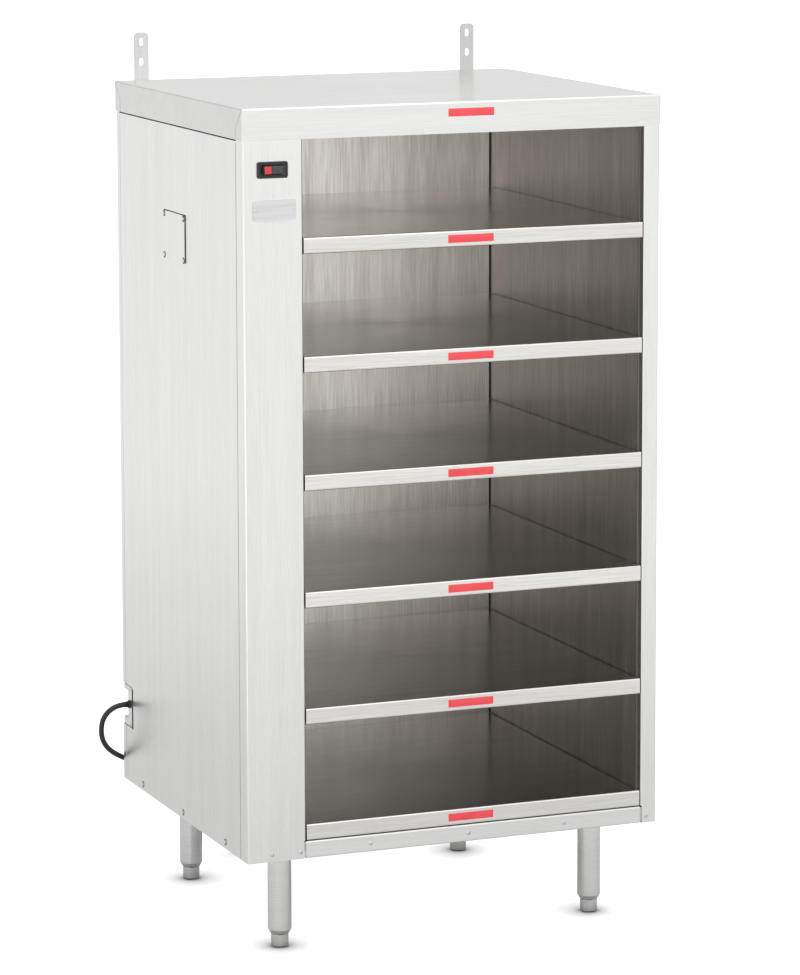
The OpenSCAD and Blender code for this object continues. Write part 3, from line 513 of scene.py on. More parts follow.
def pick(test: Test, kind: str = "FACE") -> int:
    """Picks the faces or the edges of the open mesh that pass a test.

    Args:
        test: function of a face's centre and normal, or of an edge's middle and direction.
        kind: "FACE" or "EDGE".

    Returns:
        How many are picked.
    """
    mesh = bpy.context.edit_object.data
    bpy.ops.mesh.select_mode(type=kind)
    bpy.ops.mesh.select_all(action="DESELECT")
    shape = bmesh.from_edit_mesh(mesh)
    if kind == "FACE":
        parts = [(face, face.calc_center_median(), face.normal) for face in shape.faces]
    else:
        ends = [(edge, edge.verts[0].co, edge.verts[1].co) for edge in shape.edges]
        parts = [(edge, (a + b) / 2, (b - a).normalized()) for edge, a, b in ends]
    picked = [part for part, at, way in parts if test(at, way)]
    for part in picked:
        part.select_set(True)
    bmesh.update_edit_mesh(mesh)
    return len(picked)


def grow(step: Point, scale: Point = (1, 1, 1)) -> None:
    """Extrudes the picked faces and scales their new end about its middle.

    Args:
        step: how far the end moves, in millimetres.
        scale: scale of the end along X, Y and Z.
    """
    bpy.ops.mesh.extrude_region_move(TRANSFORM_OT_translate={"value": tuple(v * MM for v in step)})
    bpy.ops.transform.resize(value=scale)


def turned(
    name: str, axis: int, start: Point, stations: Sequence[tuple[float, float]], sides: int = 40
) -> bpy.types.Object:
    """Draws a round piece out along an axis, as on a lathe.

    Args:
        name: the piece's name.
        axis: 0, 1 or 2 for X, Y or Z.
        start: where its axis starts, in millimetres.
        stations: distance along the axis and radius of each step, in millimetres.
        sides: number of sides of its round.

    Returns:
        The piece, closed at both ends.
    """
    turn = ((0, math.pi / 2, 0), (-math.pi / 2, 0, 0), (0, 0, 0))[axis]
    first = list(start)
    first[axis] += stations[0][0]
    deselect()
    bpy.ops.mesh.primitive_circle_add(
        vertices=sides, radius=stations[0][1] * MM, fill_type="NGON", rotation=turn,
        location=[v * MM for v in first],
    )
    piece = named(name)
    bpy.ops.object.transform_apply()
    edit(piece)
    bpy.ops.mesh.select_all(action="SELECT")
    for (at, radius), (following, wider) in zip(stations, stations[1:]):
        step, scale = [0.0] * 3, [wider / radius] * 3
        step[axis] = following - at
        scale[axis] = 1.0
        grow(tuple(step), tuple(scale))
    face_out()
    deselect()
    return piece


def block(name: str, middle: Point, size: Point) -> bpy.types.Object:
    """Starts a piece from a block.

    Args:
        name: the piece's name.
        middle: its middle, in millimetres.
        size: its size along X, Y and Z, in millimetres.

    Returns:
        The block, unturned and unscaled.
    """
    deselect()
    bpy.ops.mesh.primitive_cube_add(size=1, location=[v * MM for v in middle])
    piece = named(name)
    piece.scale = [v * MM for v in size]
    bpy.ops.object.transform_apply()
    return piece


def round_edges(piece: bpy.types.Object, test: Test, radius: float, steps: int = 4) -> None:
    """Rounds the edges of a piece that pass a test.

    Args:
        piece: the piece.
        test: function of an edge's middle and its direction.
        radius: radius in millimetres.
        steps: number of facets over the round.
    """
    edit(piece)
    if pick(test, "EDGE"):
        bpy.ops.mesh.bevel(offset=radius * MM, offset_type="OFFSET", segments=steps, profile=0.5)
    deselect()


def cut(piece: bpy.types.Object, tool: bpy.types.Object) -> None:
    """Cuts one shape out of a piece and clears the cutting shape away.

    Args:
        piece: the piece that is cut.
        tool: the shape that is taken out of it.
    """
    modifier = piece.modifiers.new("cut", "BOOLEAN")
    modifier.operation = "DIFFERENCE"
    modifier.solver = "EXACT"
    modifier.object = tool
    activate([piece])
    bpy.ops.object.modifier_apply(modifier=modifier.name)
    bpy.data.objects.remove(tool)


def copy_to(pattern: bpy.types.Object, name: str, place: Matrix) -> bpy.types.Object:
    """Copies a finished pattern with a mesh of its own.

    Args:
        pattern: the piece to copy.
        name: name of the copy.
        place: where the copy goes, in metres.

    Returns:
        The copy.
    """
    piece = pattern.copy()
    piece.data = pattern.data.copy()
    piece.name = piece.data.name = name
    bpy.context.scene.collection.objects.link(piece)
    piece.matrix_world = place
    return piece


def joined(pieces: Sequence[bpy.types.Object], name: str) -> bpy.types.Object:
    """Applies the places of some pieces and joins them into one.

    Args:
        pieces: the pieces to join.
        name: name of the joined piece.

    Returns:
        The joined piece.
    """
    activate(pieces)
    bpy.ops.object.transform_apply()
    if len(pieces) > 1:
        bpy.ops.object.join()
    return named(name)


def settle(
    piece: bpy.types.Object, finish: Finish, body: str = "cabinet", smooth: float = 35.0
) -> bpy.types.Object:
    """Finishes a piece: applies its modifiers and place, shades it, dresses it and lets it ride.

    Args:
        piece: the modelled piece.
        finish: finish of its surface.
        body: CAD body that carries it.
        smooth: edges sharper than this many degrees stay crisp.

    Returns:
        The finished piece.
    """
    activate([piece])
    for modifier in list(piece.modifiers):
        bpy.ops.object.modifier_apply(modifier=modifier.name)
    bpy.ops.object.transform_apply()
    bpy.ops.object.shade_smooth_by_angle(angle=math.radians(smooth))
    piece.data.materials.clear()
    piece.data.materials.append(finish.material())
    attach(piece, body)
    LOG.info("%s: %d faces, %s", piece.name, len(piece.data.polygons), finish.value.name)
    return piece


@dataclass
class Studio:
    """Camera at the photograph's place, a pale floor and soft light."""

    place: Point = (-2.5435, -6.3755, 1.8945)
    yaw: float = 21.996
    pitch: float = 7.914
    roll: float = -0.125
    lens: float = 154.857
    shift_y: float = -0.1503
    sky: float = 1.09
    glow_near: float = 0.22
    glow_far: float = 0.56
    floor_seen_glow: float = 0.6
    boxes: tuple[tuple[str, Point, Point, tuple[float, float], float], ...] = (
        ("overhead", (0.2, -0.3, 3.6), (0, 0, 0.8), (3.2, 3.2), 24),
        ("left_bank", (-3.8, 0.6, 0.95), (0, 0.4, 0.35), (3.0, 1.6), 9),
        ("low_strip", (-1.85, -1.75, 0.42), (-0.3, -0.3, 0.15), (1.2, 0.8), 2.8),
        ("front_bank", (-0.9, -3.4, 2.8), (0, 0, 1.2), (6.0, 3.0), 50),
    )

    def camera(self) -> None:
        """Sets the camera; its small shift frames the cabinet as in the photograph."""
        yaw, pitch, roll = (math.radians(a) for a in (self.yaw, self.pitch, self.roll))
        ahead = Vector((math.sin(yaw) * math.cos(pitch), math.cos(yaw) * math.cos(pitch), -math.sin(pitch)))
        right = Vector((math.cos(yaw), -math.sin(yaw), 0))
        up = right.cross(ahead)
        across = right * math.cos(roll) + up * math.sin(roll)
        upright = up * math.cos(roll) - right * math.sin(roll)
        data = bpy.data.cameras.new("camera")
        data.lens = self.lens
        data.sensor_width = 36
        data.shift_y = self.shift_y
        data.clip_start, data.clip_end = 0.05, 60
        camera = bpy.data.objects.new("camera", data)
        bpy.context.scene.collection.objects.link(camera)
        turn = Matrix((across, upright, -ahead)).transposed().to_4x4()
        camera.matrix_world = Matrix.Translation(self.place) @ turn
        bpy.context.scene.camera = camera

    def floor(self) -> None:
        """Lays a wide pale floor."""
        deselect()
        bpy.ops.mesh.primitive_circle_add(vertices=64, radius=30, fill_type="NGON", location=(0, 0, 0))
        floor = named("studio_floor")
        material = blank_material("studio_floor")
        tree = material.node_tree
        place = add_node(tree, "TexCoord").outputs["Object"]
        reach = add_node(tree, "VectorMath", traits={"operation": "LENGTH"}, links={0: place})
        # The floor glows, as painted light, stronger away from the cabinet, standing in for a lit backdrop
        glow = add_node(
            tree, "MapRange",
            values={"From Min": 1.2, "From Max": 4.4, "To Min": self.glow_near, "To Max": self.glow_far},
            links={"Value": reach.outputs["Value"]},
        )
        # The floor glows more still where the camera sees it directly
        seen = add_node(tree, "LightPath").outputs["Is Camera Ray"]
        lift = add_node(
            tree, "Math", traits={"operation": "MULTIPLY_ADD"}, values={1: self.floor_seen_glow},
            links={0: seen, 2: glow.outputs[0]},
        )
        # The floor's own glow would wash out the small shadows where the feet touch down, so an occlusion
        # term paints them in as painted shadow, on the glow and the colour alike
        contact_occlusion = add_node(
            tree, "AmbientOcclusion", traits={"samples": 4}, values={"Distance": 0.055}
        )
        painted_contact_shadow = add_node(
            tree, "MapRange", values={"From Min": 0.55, "From Max": 0.98, "To Min": 0.12},
            links={"Value": contact_occlusion.outputs["AO"]},
        )
        lit = add_node(
            tree, "Math", traits={"operation": "MULTIPLY"},
            links={0: lift.outputs[0], 1: painted_contact_shadow.outputs[0]},
        )
        cloud = add_node(tree, "TexNoise", values={"Scale": 0.6, "Detail": 2.0}, links={"Vector": place})
        colour = add_node(
            tree, "Mix", traits={"data_type": "RGBA"},
            values={6: linear("#B9B9B9"), 7: linear("#BFBFBF")}, links={0: cloud.outputs[0]},
        )
        # Painted shadow: the floor's colour is darkened near the feet too
        dimmed = add_node(
            tree, "Mix", traits={"data_type": "RGBA", "blend_type": "MULTIPLY"}, values={0: 1.0},
            links={6: colour.outputs[2], 7: painted_contact_shadow.outputs[0]},
        )
        close_material(
            material, {"Roughness": 0.6, "IOR": 1.45, "Emission Color": linear("#FFFFFF")},
            {"Base Color": dimmed.outputs[2], "Emission Strength": lit.outputs[0]},
        )
        floor.data.materials.append(material)

    def panel(self, name: str, place: Point, aim: Point, size: tuple[float, float], power: float) -> None:
        """Hangs one soft box.

        Args:
            name: name of the light.
            place: where it hangs.
            aim: point that it faces.
            size: its width and height in metres.
            power: its power in watts.
        """
        data = bpy.data.lights.new(name, "AREA")
        data.shape = "RECTANGLE"
        data.size, data.size_y = size
        data.energy = power
        light = bpy.data.objects.new(name, data)
        bpy.context.scene.collection.objects.link(light)
        light.location = place
        light.rotation_euler = (Vector(aim) - Vector(place)).to_track_quat("-Z", "Y").to_euler()

    def light(self) -> None:
        """Sets the white surround and the soft boxes."""
        bpy.context.scene.view_settings.view_transform = "Standard"
        world = bpy.data.worlds.new("studio")
        bpy.context.scene.world = world
        world.use_nodes = True
        tree = world.node_tree
        tree.nodes.clear()
        way = add_node(tree, "TexCoord").outputs["Generated"]
        split = add_node(tree, "SeparateXYZ", links={"Vector": way})
        # The room is a little brighter in front of the cabinet, and dark curtains hang on its right
        front = add_node(
            tree, "MapRange", traits={"interpolation_type": "SMOOTHSTEP"},
            values={"From Min": -0.85, "From Max": -0.2},
            links={"Value": split.outputs["Y"]},
        )
        colour = add_node(
            tree, "Mix", traits={"data_type": "RGBA"},
            values={6: linear("#FFFFFF"), 7: linear("#E6E6E6")}, links={0: front.outputs[0]},
        )
        curtain = add_node(
            tree, "MapRange", traits={"interpolation_type": "SMOOTHSTEP"},
            values={"From Min": 0.6, "From Max": 0.95, "To Min": 1.0, "To Max": 0.3},
            links={"Value": split.outputs["X"]},
        )
        strength = add_node(
            tree, "Math", traits={"operation": "MULTIPLY"}, values={1: self.sky},
            links={0: curtain.outputs[0]},
        )
        room = add_node(
            tree, "Background", links={"Color": colour.outputs[2], "Strength": strength.outputs[0]}
        )
        # The backdrop itself is lit to plain white
        sweep = add_node(tree, "Background", values={"Color": linear("#FFFFFF"), "Strength": 1.0})
        seen = add_node(tree, "LightPath").outputs["Is Camera Ray"]
        both = add_node(
            tree, "MixShader", links={0: seen, 1: room.outputs[0], 2: sweep.outputs[0]}
        )
        add_node(tree, "OutputWorld", links={"Surface": both.outputs[0]})
        for box in self.boxes:
            self.panel(*box)

    def build(self) -> None:
        """Builds the studio."""
        self.camera()
        self.floor()
        self.light()
        LOG.info("studio: camera, floor and four soft boxes")


@dataclass
class SheetMetal:
    """The cabinet's own sheets and fittings, each with its finish."""

    finishes: dict[str, Finish] = field(
        default_factory=lambda: {
            "top_cap": Finish.CAP,
            "left_side_panel": Finish.BODY_UPRIGHT,
            "right_side_panel": Finish.BODY_UPRIGHT,
            "control_column": Finish.BODY_UPRIGHT,
            "right_column": Finish.BODY_JAMB,
            "rear_panel": Finish.BODY_UPRIGHT,
            "rear_post": Finish.BODY_UPRIGHT,
            "liner_top": Finish.DECK,
            "liner_rear": Finish.LINER_REAR,
            "liner": Finish.LINER_WALL,
            "shelf_deck": Finish.DECK,
            "shelf_tray": Finish.TRAY,
            "heater_mat": Finish.FOIL,
            "base_rail": Finish.BODY_ACROSS,
            "base_pan": Finish.ZINC,
            "leg_plates": Finish.ZINC,
            "base_bolts": Finish.SCREW,
            "leg_": Finish.TUBE,
            "foot_": Finish.FOOT,
            "wall_bracket": Finish.BRACKET,
            "service_cover": Finish.BODY_UPRIGHT,
            "side_screws": Finish.SCREW,
            "front_screws": Finish.SCREW,
            "rear_screws": Finish.SCREW,
            "switch_frame": Finish.ABS_BLACK,
            "rocker_lens": Finish.LENS_RED,
            "rocker": Finish.ABS_BLACK,
            "cord_plate": Finish.BODY_UPRIGHT,
            "cord_pocket": Finish.BRACKET,
            "strain_relief": Finish.PVC_BLACK,
            "thermostats": Finish.PHENOLIC,
            "terminal_block": Finish.CERAMIC,
            "wiring": Finish.SLEEVE,
            "cord_": Finish.PVC_BLACK,
            "plug": Finish.PVC_BLACK,
        }
    )

    def finish_of(self, node: str) -> Finish:
        """Finds the finish of a CAD node by the start of its name."""
        return self.finishes[next(key for key in self.finishes if node.startswith(key))]

    def dress(self, nodes: dict[str, bpy.types.Object]) -> None:
        """Gives every CAD node its finish.

        Args:
            nodes: the CAD nodes by name.
        """
        for name in sorted(nodes):
            finish = self.finish_of(name)
            nodes[name].data.materials.clear()
            nodes[name].data.materials.append(finish.material())
            LOG.info("%s: %s", name, finish.value.name)


@dataclass
class MainsLead:
    """Three-core mains lead, from its gland to the plug, with the unused length in a coil."""

    diameter_mm: float = 9.0
    exit_mm: Point = (-361.7, 280.297, 299.0)
    start_mm: tuple[float, float] = (0.0, 345.0)
    floor_mm: float = 4.6
    coil_out_mm: float = 57.0
    coil_turns: int = 2
    coil_steps: int = 24
    pitch_mm: float = 9.6
    layer_mm: float = 9.5
    end_run_mm: float = 48.0

    def route(self) -> list[Point]:
        """Gives the listed points from the gland to the coil, in millimetres."""
        hand = [
            (-364, 280.3, 299), (-375, 280.9, 297.2), (-385, 282.5, 292.3), (-393, 285.3, 284.3),
            (-397.8, 288.6, 274.5), (-399.5, 292.2, 263.5), (-399, 296, 250.5), (-395.7, 300.4, 237.8),
            (-389, 305.6, 225.8), (-379.3, 311.3, 215), (-366.8, 317, 205.5), (-351.5, 322.8, 196.5),
            (-332, 328.3, 185.5), (-307, 333, 168), (-280, 336.5, 147), (-253, 339, 125),
            (-227, 341, 101), (-203, 342, 77), (-180, 343, 55.5), (-157, 344, 36.5),
            (-134, 344.6, 21), (-110, 345, 10.5), (-85, 345, 5.6), (-60, 345, self.floor_mm),
            (-35, 345, self.floor_mm), (-10, 345, self.floor_mm),
        ]
        return [self.exit_mm, *hand]

    def coil_point(self, turn: float) -> Point:
        """Gives the coil's centreline after some turns: in on the floor, out again on top.

        Args:
            turn: how many turns it has made.

        Returns:
            The point, in millimetres.
        """
        radius = self.coil_out_mm - self.pitch_mm * min(turn, 2 * self.coil_turns - turn)
        rise = (1 - math.cos(math.pi * min(max((turn - self.coil_turns) * 2 + 0.5, 0), 1))) / 2
        angle = 2 * math.pi * turn
        centre = (self.start_mm[0] + self.diameter_mm, self.start_mm[1] + self.coil_out_mm)
        return (
            centre[0] + radius * math.sin(angle),
            centre[1] - radius * math.cos(angle),
            self.floor_mm + self.layer_mm * rise,
        )

    def centreline(self) -> list[Vector]:
        """Gives the whole lead's points in metres, with a smooth curve through them.

        Returns:
            The points, from the gland to the plug.
        """
        rings = 2 * self.coil_turns * self.coil_steps
        coil = [self.coil_point(2 * self.coil_turns * i / rings) for i in range(rings + 1)]
        last = coil[-1]
        run = [(last[0] + self.end_run_mm * k / 3, last[1], last[2]) for k in (1, 2, 3)]
        start = (self.start_mm[0], self.start_mm[1], self.floor_mm)
        points = [Vector(p) * MM for p in (*self.route(), start, *coil, *run)]
        return smooth_line(points, 3)

    def build(self) -> tuple[bpy.types.Object, list[Vector]]:
        """Builds the lead as one tube along its centreline.

        Returns:
            The lead and its centreline.
        """
        line = self.centreline()
        data = bpy.data.curves.new("mains_lead", "CURVE")
        data.dimensions = "3D"
        data.bevel_depth = self.diameter_mm * MM / 2
        data.bevel_resolution = 5
        data.use_fill_caps = True
        spline = data.splines.new("POLY")
        spline.points.add(len(line) - 1)
        for knot, place in zip(spline.points, line):
            knot.co = (*place, 1.0)
        spline.use_smooth = True
        lead = bpy.data.objects.new("mains_lead", data)
        bpy.context.scene.collection.objects.link(lead)
        data.materials.append(Finish.PVC_BLACK.material())
        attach(lead, "cabinet")
        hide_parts("cord_lead", "cord_coil")
        return lead, line


@dataclass
class BodyFitting:
    """What is fitted to the body: the planes of its sheets, its shelf tops and screw seats."""

    left_mm: float = -354.7
    right_mm: float = 356.3
    front_mm: float = -311.703
    rear_mm: float = 313.297
    shelf_tops_mm: tuple[float, ...] = (1156.0, 968.84, 781.68, 594.52, 407.36, 220.2)
    foot_y_mm: tuple[float, ...] = (-205.7, 0.8, 207.3)
    foot_z_mm: float = 176.0
    cover_y_mm: tuple[float, ...] = (-31.7, 63.3)
    cover_z_mm: tuple[float, ...] = (1094.0, 1162.0)
    cover_mm: float = 1.6


@dataclass
class RedStrips(BodyFitting):
    """Plain red vinyl strips, one on the cap and one on each shelf lip."""

    middle_x_mm: float = 27.3
    length_mm: float = 78.0
    height_mm: float = 12.7
    thick_mm: float = 0.3
    cap_face_mm: float = -313.203
    cap_z_mm: float = 1343.0
    lip_mm: float = 26.0

    def pattern(self) -> bpy.types.Object:
        """Models one strip at the origin, its back on the plane Y = 0.

        Returns:
            The strip.
        """
        strip = block("strip", (0, -self.thick_mm / 2, 0), (self.length_mm, self.thick_mm, self.height_mm))
        round_edges(strip, lambda at, way: abs(way.y) > 0.9, 0.9, 3)
        round_edges(strip, lambda at, way: at.y < -0.9 * self.thick_mm * MM, 0.12, 2)
        return strip

    def build(self) -> None:
        """Models the strip once and lays its copies on the cap and the lips."""
        pattern = self.pattern()
        seats = [(self.cap_face_mm, self.cap_z_mm)]
        seats += [(self.front_mm, top - self.lip_mm / 2) for top in self.shelf_tops_mm]
        for number, (face, height) in enumerate(seats):
            place = Matrix.Translation(Vector((self.middle_x_mm, face - 0.02, height)) * MM)
            strip = copy_to(pattern, f"red_strip_{number}", place)
            settle(strip, Finish.VINYL_RED)
        bpy.data.objects.remove(pattern)


@dataclass
class PlainPlate:
    """Blank plate with two rivets on the control column."""

    middle_mm: Point = (-303.7, -311.703, 1201.0)
    size_mm: tuple[float, float] = (72.0, 34.0)
    thick_mm: float = 1.0
    corner_mm: float = 5.0
    rivet_mm: float = 3.2

    def build(self) -> None:
        """Models the plate and its rivets."""
        x, face, z = self.middle_mm
        wide, high = self.size_mm
        plate = block("plain_plate", (x, face - self.thick_mm / 2, z), (wide, self.thick_mm, high))
        round_edges(plate, lambda at, way: abs(way.y) > 0.9, self.corner_mm, 8)
        front = (face - self.thick_mm) * MM
        edit(plate)
        pick(lambda at, normal: normal.y < -0.9)
        bpy.ops.mesh.inset(thickness=1.6 * MM)
        grow((0, 0.25, 0))
        round_edges(plate, lambda at, way: abs(at.y - front) < 1e-5 and abs(way.y) < 0.1, 0.2, 2)
        settle(plate, Finish.PLATE_SATIN)
        rivets = []
        for side in (-1, 1):
            start = (x + side * (wide / 2 - 5), face - self.thick_mm + 0.2, z)
            half = self.rivet_mm / 2
            dome = ((0, half), (-0.45, half), (-0.85, self.rivet_mm * 0.38), (-1.0, 0.5))
            rivets.append(turned("rivet", 1, start, dome, 24))
        settle(joined(rivets, "plate_rivets"), Finish.SCREW)


class Facing(Enum):
    """Side of the cabinet on which a screw is driven."""

    LEFT = (-1, 0, 0)
    RIGHT = (1, 0, 0)
    FRONT = (0, -1, 0)
    REAR = (0, 1, 0)


@dataclass
class PanScrews(BodyFitting):
    """Pan-head screws with a cross recess, in place of the plain heads."""

    head_mm: float = 7.6
    height_mm: float = 1.6
    recess_mm: float = 4.4
    blade_mm: float = 1.1
    depth_mm: float = 1.0
    strap_mm: float = 2.5
    cap_over_mm: float = 1.5
    front_seats_mm: tuple[tuple[float, float], ...] = (
        (-313.5, 176), (-265.5, 176), (-146.2, 178.5), (22.8, 178.5), (191.8, 178.5), (338.3, 176),
    )
    seats: list[tuple[str, Point, Facing, float]] = field(default_factory=list)

    def pattern(self) -> bpy.types.Object:
        """Models one screw head at the origin, facing +Z, with its recess cut.

        Returns:
            The screw head.
        """
        half, top = self.head_mm / 2, self.height_mm
        profile = (
            (0, half * 0.97), (0.35, half), (top * 0.55, half * 0.95), (top * 0.85, half * 0.72),
            (top, half * 0.4),
        )
        head = turned("screw", 2, (0, 0, 0), profile, 32)
        cross = block("cross", (0, 0, top), (self.blade_mm, self.blade_mm, 2 * self.depth_mm))
        arm = (self.recess_mm - self.blade_mm) / 2
        for way in ((1, 0, 0), (-1, 0, 0), (0, 1, 0), (0, -1, 0)):
            out = Vector(way)
            edit(cross)
            pick(lambda at, normal: normal.dot(out) > 0.9 and abs(at.dot(out)) < self.blade_mm * MM)
            grow(tuple(v * arm for v in way))
        edit(cross)
        pick(lambda at, normal: normal.z < -0.9)
        bpy.ops.transform.resize(value=(0.6, 0.6, 1))
        deselect()
        cut(head, cross)
        return head

    def list_seats(self) -> None:
        """Lists every screw: the node it belongs to, its seat, its side and its scale."""
        add = self.seats.append
        for y in self.foot_y_mm:
            add(("side_screws", (self.left_mm, y, self.foot_z_mm), Facing.LEFT, 1.0))
            add(("side_screws", (self.right_mm, y, self.foot_z_mm), Facing.RIGHT, 1.0))
        for y in self.cover_y_mm:
            for z in self.cover_z_mm:
                add(("side_screws", (self.left_mm - self.cover_mm, y, z), Facing.LEFT, 1.0))
        for z in (265.5, 325.5):
            add(("side_screws", (-352.7, 278.3, z), Facing.LEFT, 0.8))
        for x, z in self.front_seats_mm:
            add(("front_screws", (x, self.front_mm, z), Facing.FRONT, 0.85))
        for x in (-317.7, 319.3):
            for z in (205, 457.5, 710, 962.5, 1215):
                add(("rear_screws", (x, self.rear_mm, z), Facing.REAR, 1.0))
        for x in (-307.7, 285.3):
            add(("rear_screws", (x, self.rear_mm + self.strap_mm, 1265), Facing.REAR, 1.0))
            for z in (1322, 1346):
                seat = self.rear_mm + self.cap_over_mm + self.strap_mm
                add(("rear_screws", (x, seat, z), Facing.REAR, 1.0))

    def build(self) -> None:
        """Models one screw and drives its copies, each turned its own way as screws end up."""
        self.list_seats()
        pattern = self.pattern()
        groups: dict[str, list[bpy.types.Object]] = {}
        for number, (node, seat, facing, scale) in enumerate(self.seats):
            turn = Vector(facing.value).to_track_quat("Z", "Y").to_matrix().to_4x4()
            spin = Matrix.Rotation(math.radians(37 * number % 90), 4, "Z")
            place = Matrix.Translation(Vector(seat) * MM) @ turn @ spin @ Matrix.Scale(scale, 4)
            groups.setdefault(node, []).append(copy_to(pattern, f"screw_{number}", place))
        bpy.data.objects.remove(pattern)
        for node, screws in groups.items():
            group = settle(joined(screws, f"cross_{node}"), Finish.SCREW)
            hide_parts(node)


@dataclass
class RockerSwitch:
    """Horizontal rocker switch with a red lens, its left end proud."""

    middle_mm: tuple[float, float] = (-306.7, 1264.0)
    panel_mm: float = -311.703
    frame_mm: tuple[float, float] = (50.7, 26.0)
    frame_thick_mm: float = 2.8
    rim_mm: float = 0.6
    corner_mm: float = 3.4
    opening_mm: tuple[float, float] = (34.6, 14.2)
    pivot_y_mm: float = -309.503
    rocker_mm: tuple[float, float] = (32.6, 13.0)
    ends_mm: float = 7.27
    vee_mm: float = 4.4
    tilt_deg: float = 10.0
    lens_mm: tuple[float, float] = (12.8, 11.8)
    lens_x_mm: float = -9.7
    step_mm: tuple[float, float] = (50.7, 26.0)
    rings_mm: tuple[tuple[float, float], ...] = (
        (0.6, 2.8), (3.0, 2.8), (3.35, 2.2), (3.9, 2.2), (4.25, 2.65), (5.0, 2.65),
    )

    def frame(self) -> None:
        """Models the bezel: rounded outline, raised ring and an opening for the rocker."""
        x, z = self.middle_mm
        wide, high = self.frame_mm
        thick = self.frame_thick_mm - self.rim_mm
        frame = block("switch_bezel", (x, self.panel_mm - thick / 2, z), (wide, thick, high))
        round_edges(frame, lambda at, way: abs(way.y) > 0.9, self.corner_mm, 8)
        back = self.panel_mm * MM
        edit(frame)
        pick(lambda at, normal: normal.y < -0.9)
        # Outer edge, flat ring, groove, raised inner lip, then down the wall of the opening
        for border, out in self.rings_mm:
            thick = self.shrink((wide - 2 * border, high - 2 * border), out, thick)
        for out in (1.5, 0.0):
            thick = self.shrink(self.opening_mm, out, thick)
        bpy.ops.mesh.delete(type="FACE")
        pick(lambda at, normal: normal.y > 0.9 and abs(at.y - back) < 1e-6)
        bpy.ops.mesh.delete(type="FACE")
        pick(lambda at, way: abs(at.y - back) < 1e-6, "EDGE")
        bpy.ops.mesh.bridge_edge_loops()
        face_out()
        settle(frame, Finish.ABS_BLACK)
        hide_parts("switch_frame")

    def shrink(self, size_mm: tuple[float, float], out_mm: float, from_mm: float) -> float:
        """Carries the picked front face to a new size and height over the panel.

        Args:
            size_mm: its new width and height.
            out_mm: its new height over the panel.
            from_mm: its height until now.

        Returns:
            The new height.
        """
        self.step_mm, last = size_mm, self.step_mm
        grow((0, from_mm - out_mm, 0), (size_mm[0] / last[0], 1, size_mm[1] / last[1]))
        return out_mm

    def pose(self, piece: bpy.types.Object) -> None:
        """Carries a piece from the pivot to the panel and turns it to its resting tilt.

        Args:
            piece: the piece, modelled about the pivot.
        """
        pivot = Vector((self.middle_mm[0], self.pivot_y_mm, self.middle_mm[1])) * MM
        turn = Matrix.Rotation(math.radians(self.tilt_deg), 4, "Z")
        piece.matrix_world = Matrix.Translation(pivot) @ turn @ piece.matrix_world

    def rocker(self) -> None:
        """Models the rocker: a block whose face dips in the middle, with softened edges."""
        wide, high = self.rocker_mm
        rocker = block("rocker_cap", (0, -self.ends_mm / 2 + 1.2, 0), (wide, self.ends_mm + 2.4, high))
        edit(rocker)
        bpy.ops.mesh.select_all(action="SELECT")
        bpy.ops.mesh.bisect(plane_co=(0, 0, 0), plane_no=(1, 0, 0))
        pick(
            lambda at, way: abs(at.x) < 1e-5 and at.y < -self.ends_mm * 0.9 * MM and abs(way.z) > 0.9,
            "EDGE",
        )
        bpy.ops.transform.translate(value=(0, (self.ends_mm - self.vee_mm) * MM, 0))
        round_edges(rocker, lambda at, way: at.y < -self.vee_mm * 0.9 * MM and abs(way.y) < 0.5, 0.55, 3)
        self.pose(rocker)
        settle(rocker, Finish.ABS_GREY, "rocker")
        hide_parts("rocker")

    def lens(self) -> None:
        """Models the lens: a small block set in the proud half, with a moulded rim."""
        wide, high = self.lens_mm
        slope = (self.ends_mm - self.vee_mm) / (self.rocker_mm[0] / 2)
        lens = block("red_lens", (0, 0, 0), (wide, 1.6, high))
        round_edges(lens, lambda at, way: abs(way.y) > 0.9, 0.6, 3)
        edit(lens)
        pick(lambda at, normal: normal.y < -0.9)
        grow((0, 0, 0), (1 - 1.6 / wide, 1, 1 - 1.6 / high))
        grow((0, 0.15, 0))
        round_edges(lens, lambda at, way: at.y < -0.75 * MM and abs(way.y) < 0.1, 0.12, 2)
        seat = Vector((self.lens_x_mm, -self.vee_mm + self.lens_x_mm * slope + 0.45, 0)) * MM
        lens.matrix_world = Matrix.Translation(seat) @ Matrix.Rotation(math.atan(slope), 4, "Z")
        self.pose(lens)
        settle(lens, Finish.LENS_RED, "rocker")
        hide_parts("rocker_lens")

    def build(self) -> None:
        """Builds the switch."""
        self.frame()
        self.rocker()
        self.lens()


@dataclass
class StrainBoot:
    """Ribbed, tapered strain relief that holds the lead in the cord plate."""

    seat_mm: Point = (-352.7, 280.297, 299.0)
    collar_mm: float = 7.0
    ribs: int = 4

    def build(self) -> None:
        """Draws the boot out from its inner sleeve to its tip."""
        collar = self.collar_mm
        profile = [(20.0, 5.3), (4.0, 5.3), (3.6, 7.6), (1.8, 7.6), (1.6, 5.4), (0.0, 5.4)]
        profile += [(0.0, collar - 0.3), (-0.3, collar), (-2.6, collar), (-3.0, collar - 0.4), (-3.0, 5.4)]
        for rib in range(self.ribs):
            at, radius = -3.2 - rib * 1.45, 5.35 - rib * 0.11
            root = radius - 0.45
            profile += [(at, root), (at - 0.5, root), (at - 0.6, radius), (at - 1.2, radius)]
        profile += [(-8.9, 4.95), (-9.0, 4.7)]
        boot = turned("strain_boot", 0, self.seat_mm, profile, 48)
        settle(boot, Finish.PVC_BLACK, smooth=30)
        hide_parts("strain_relief")


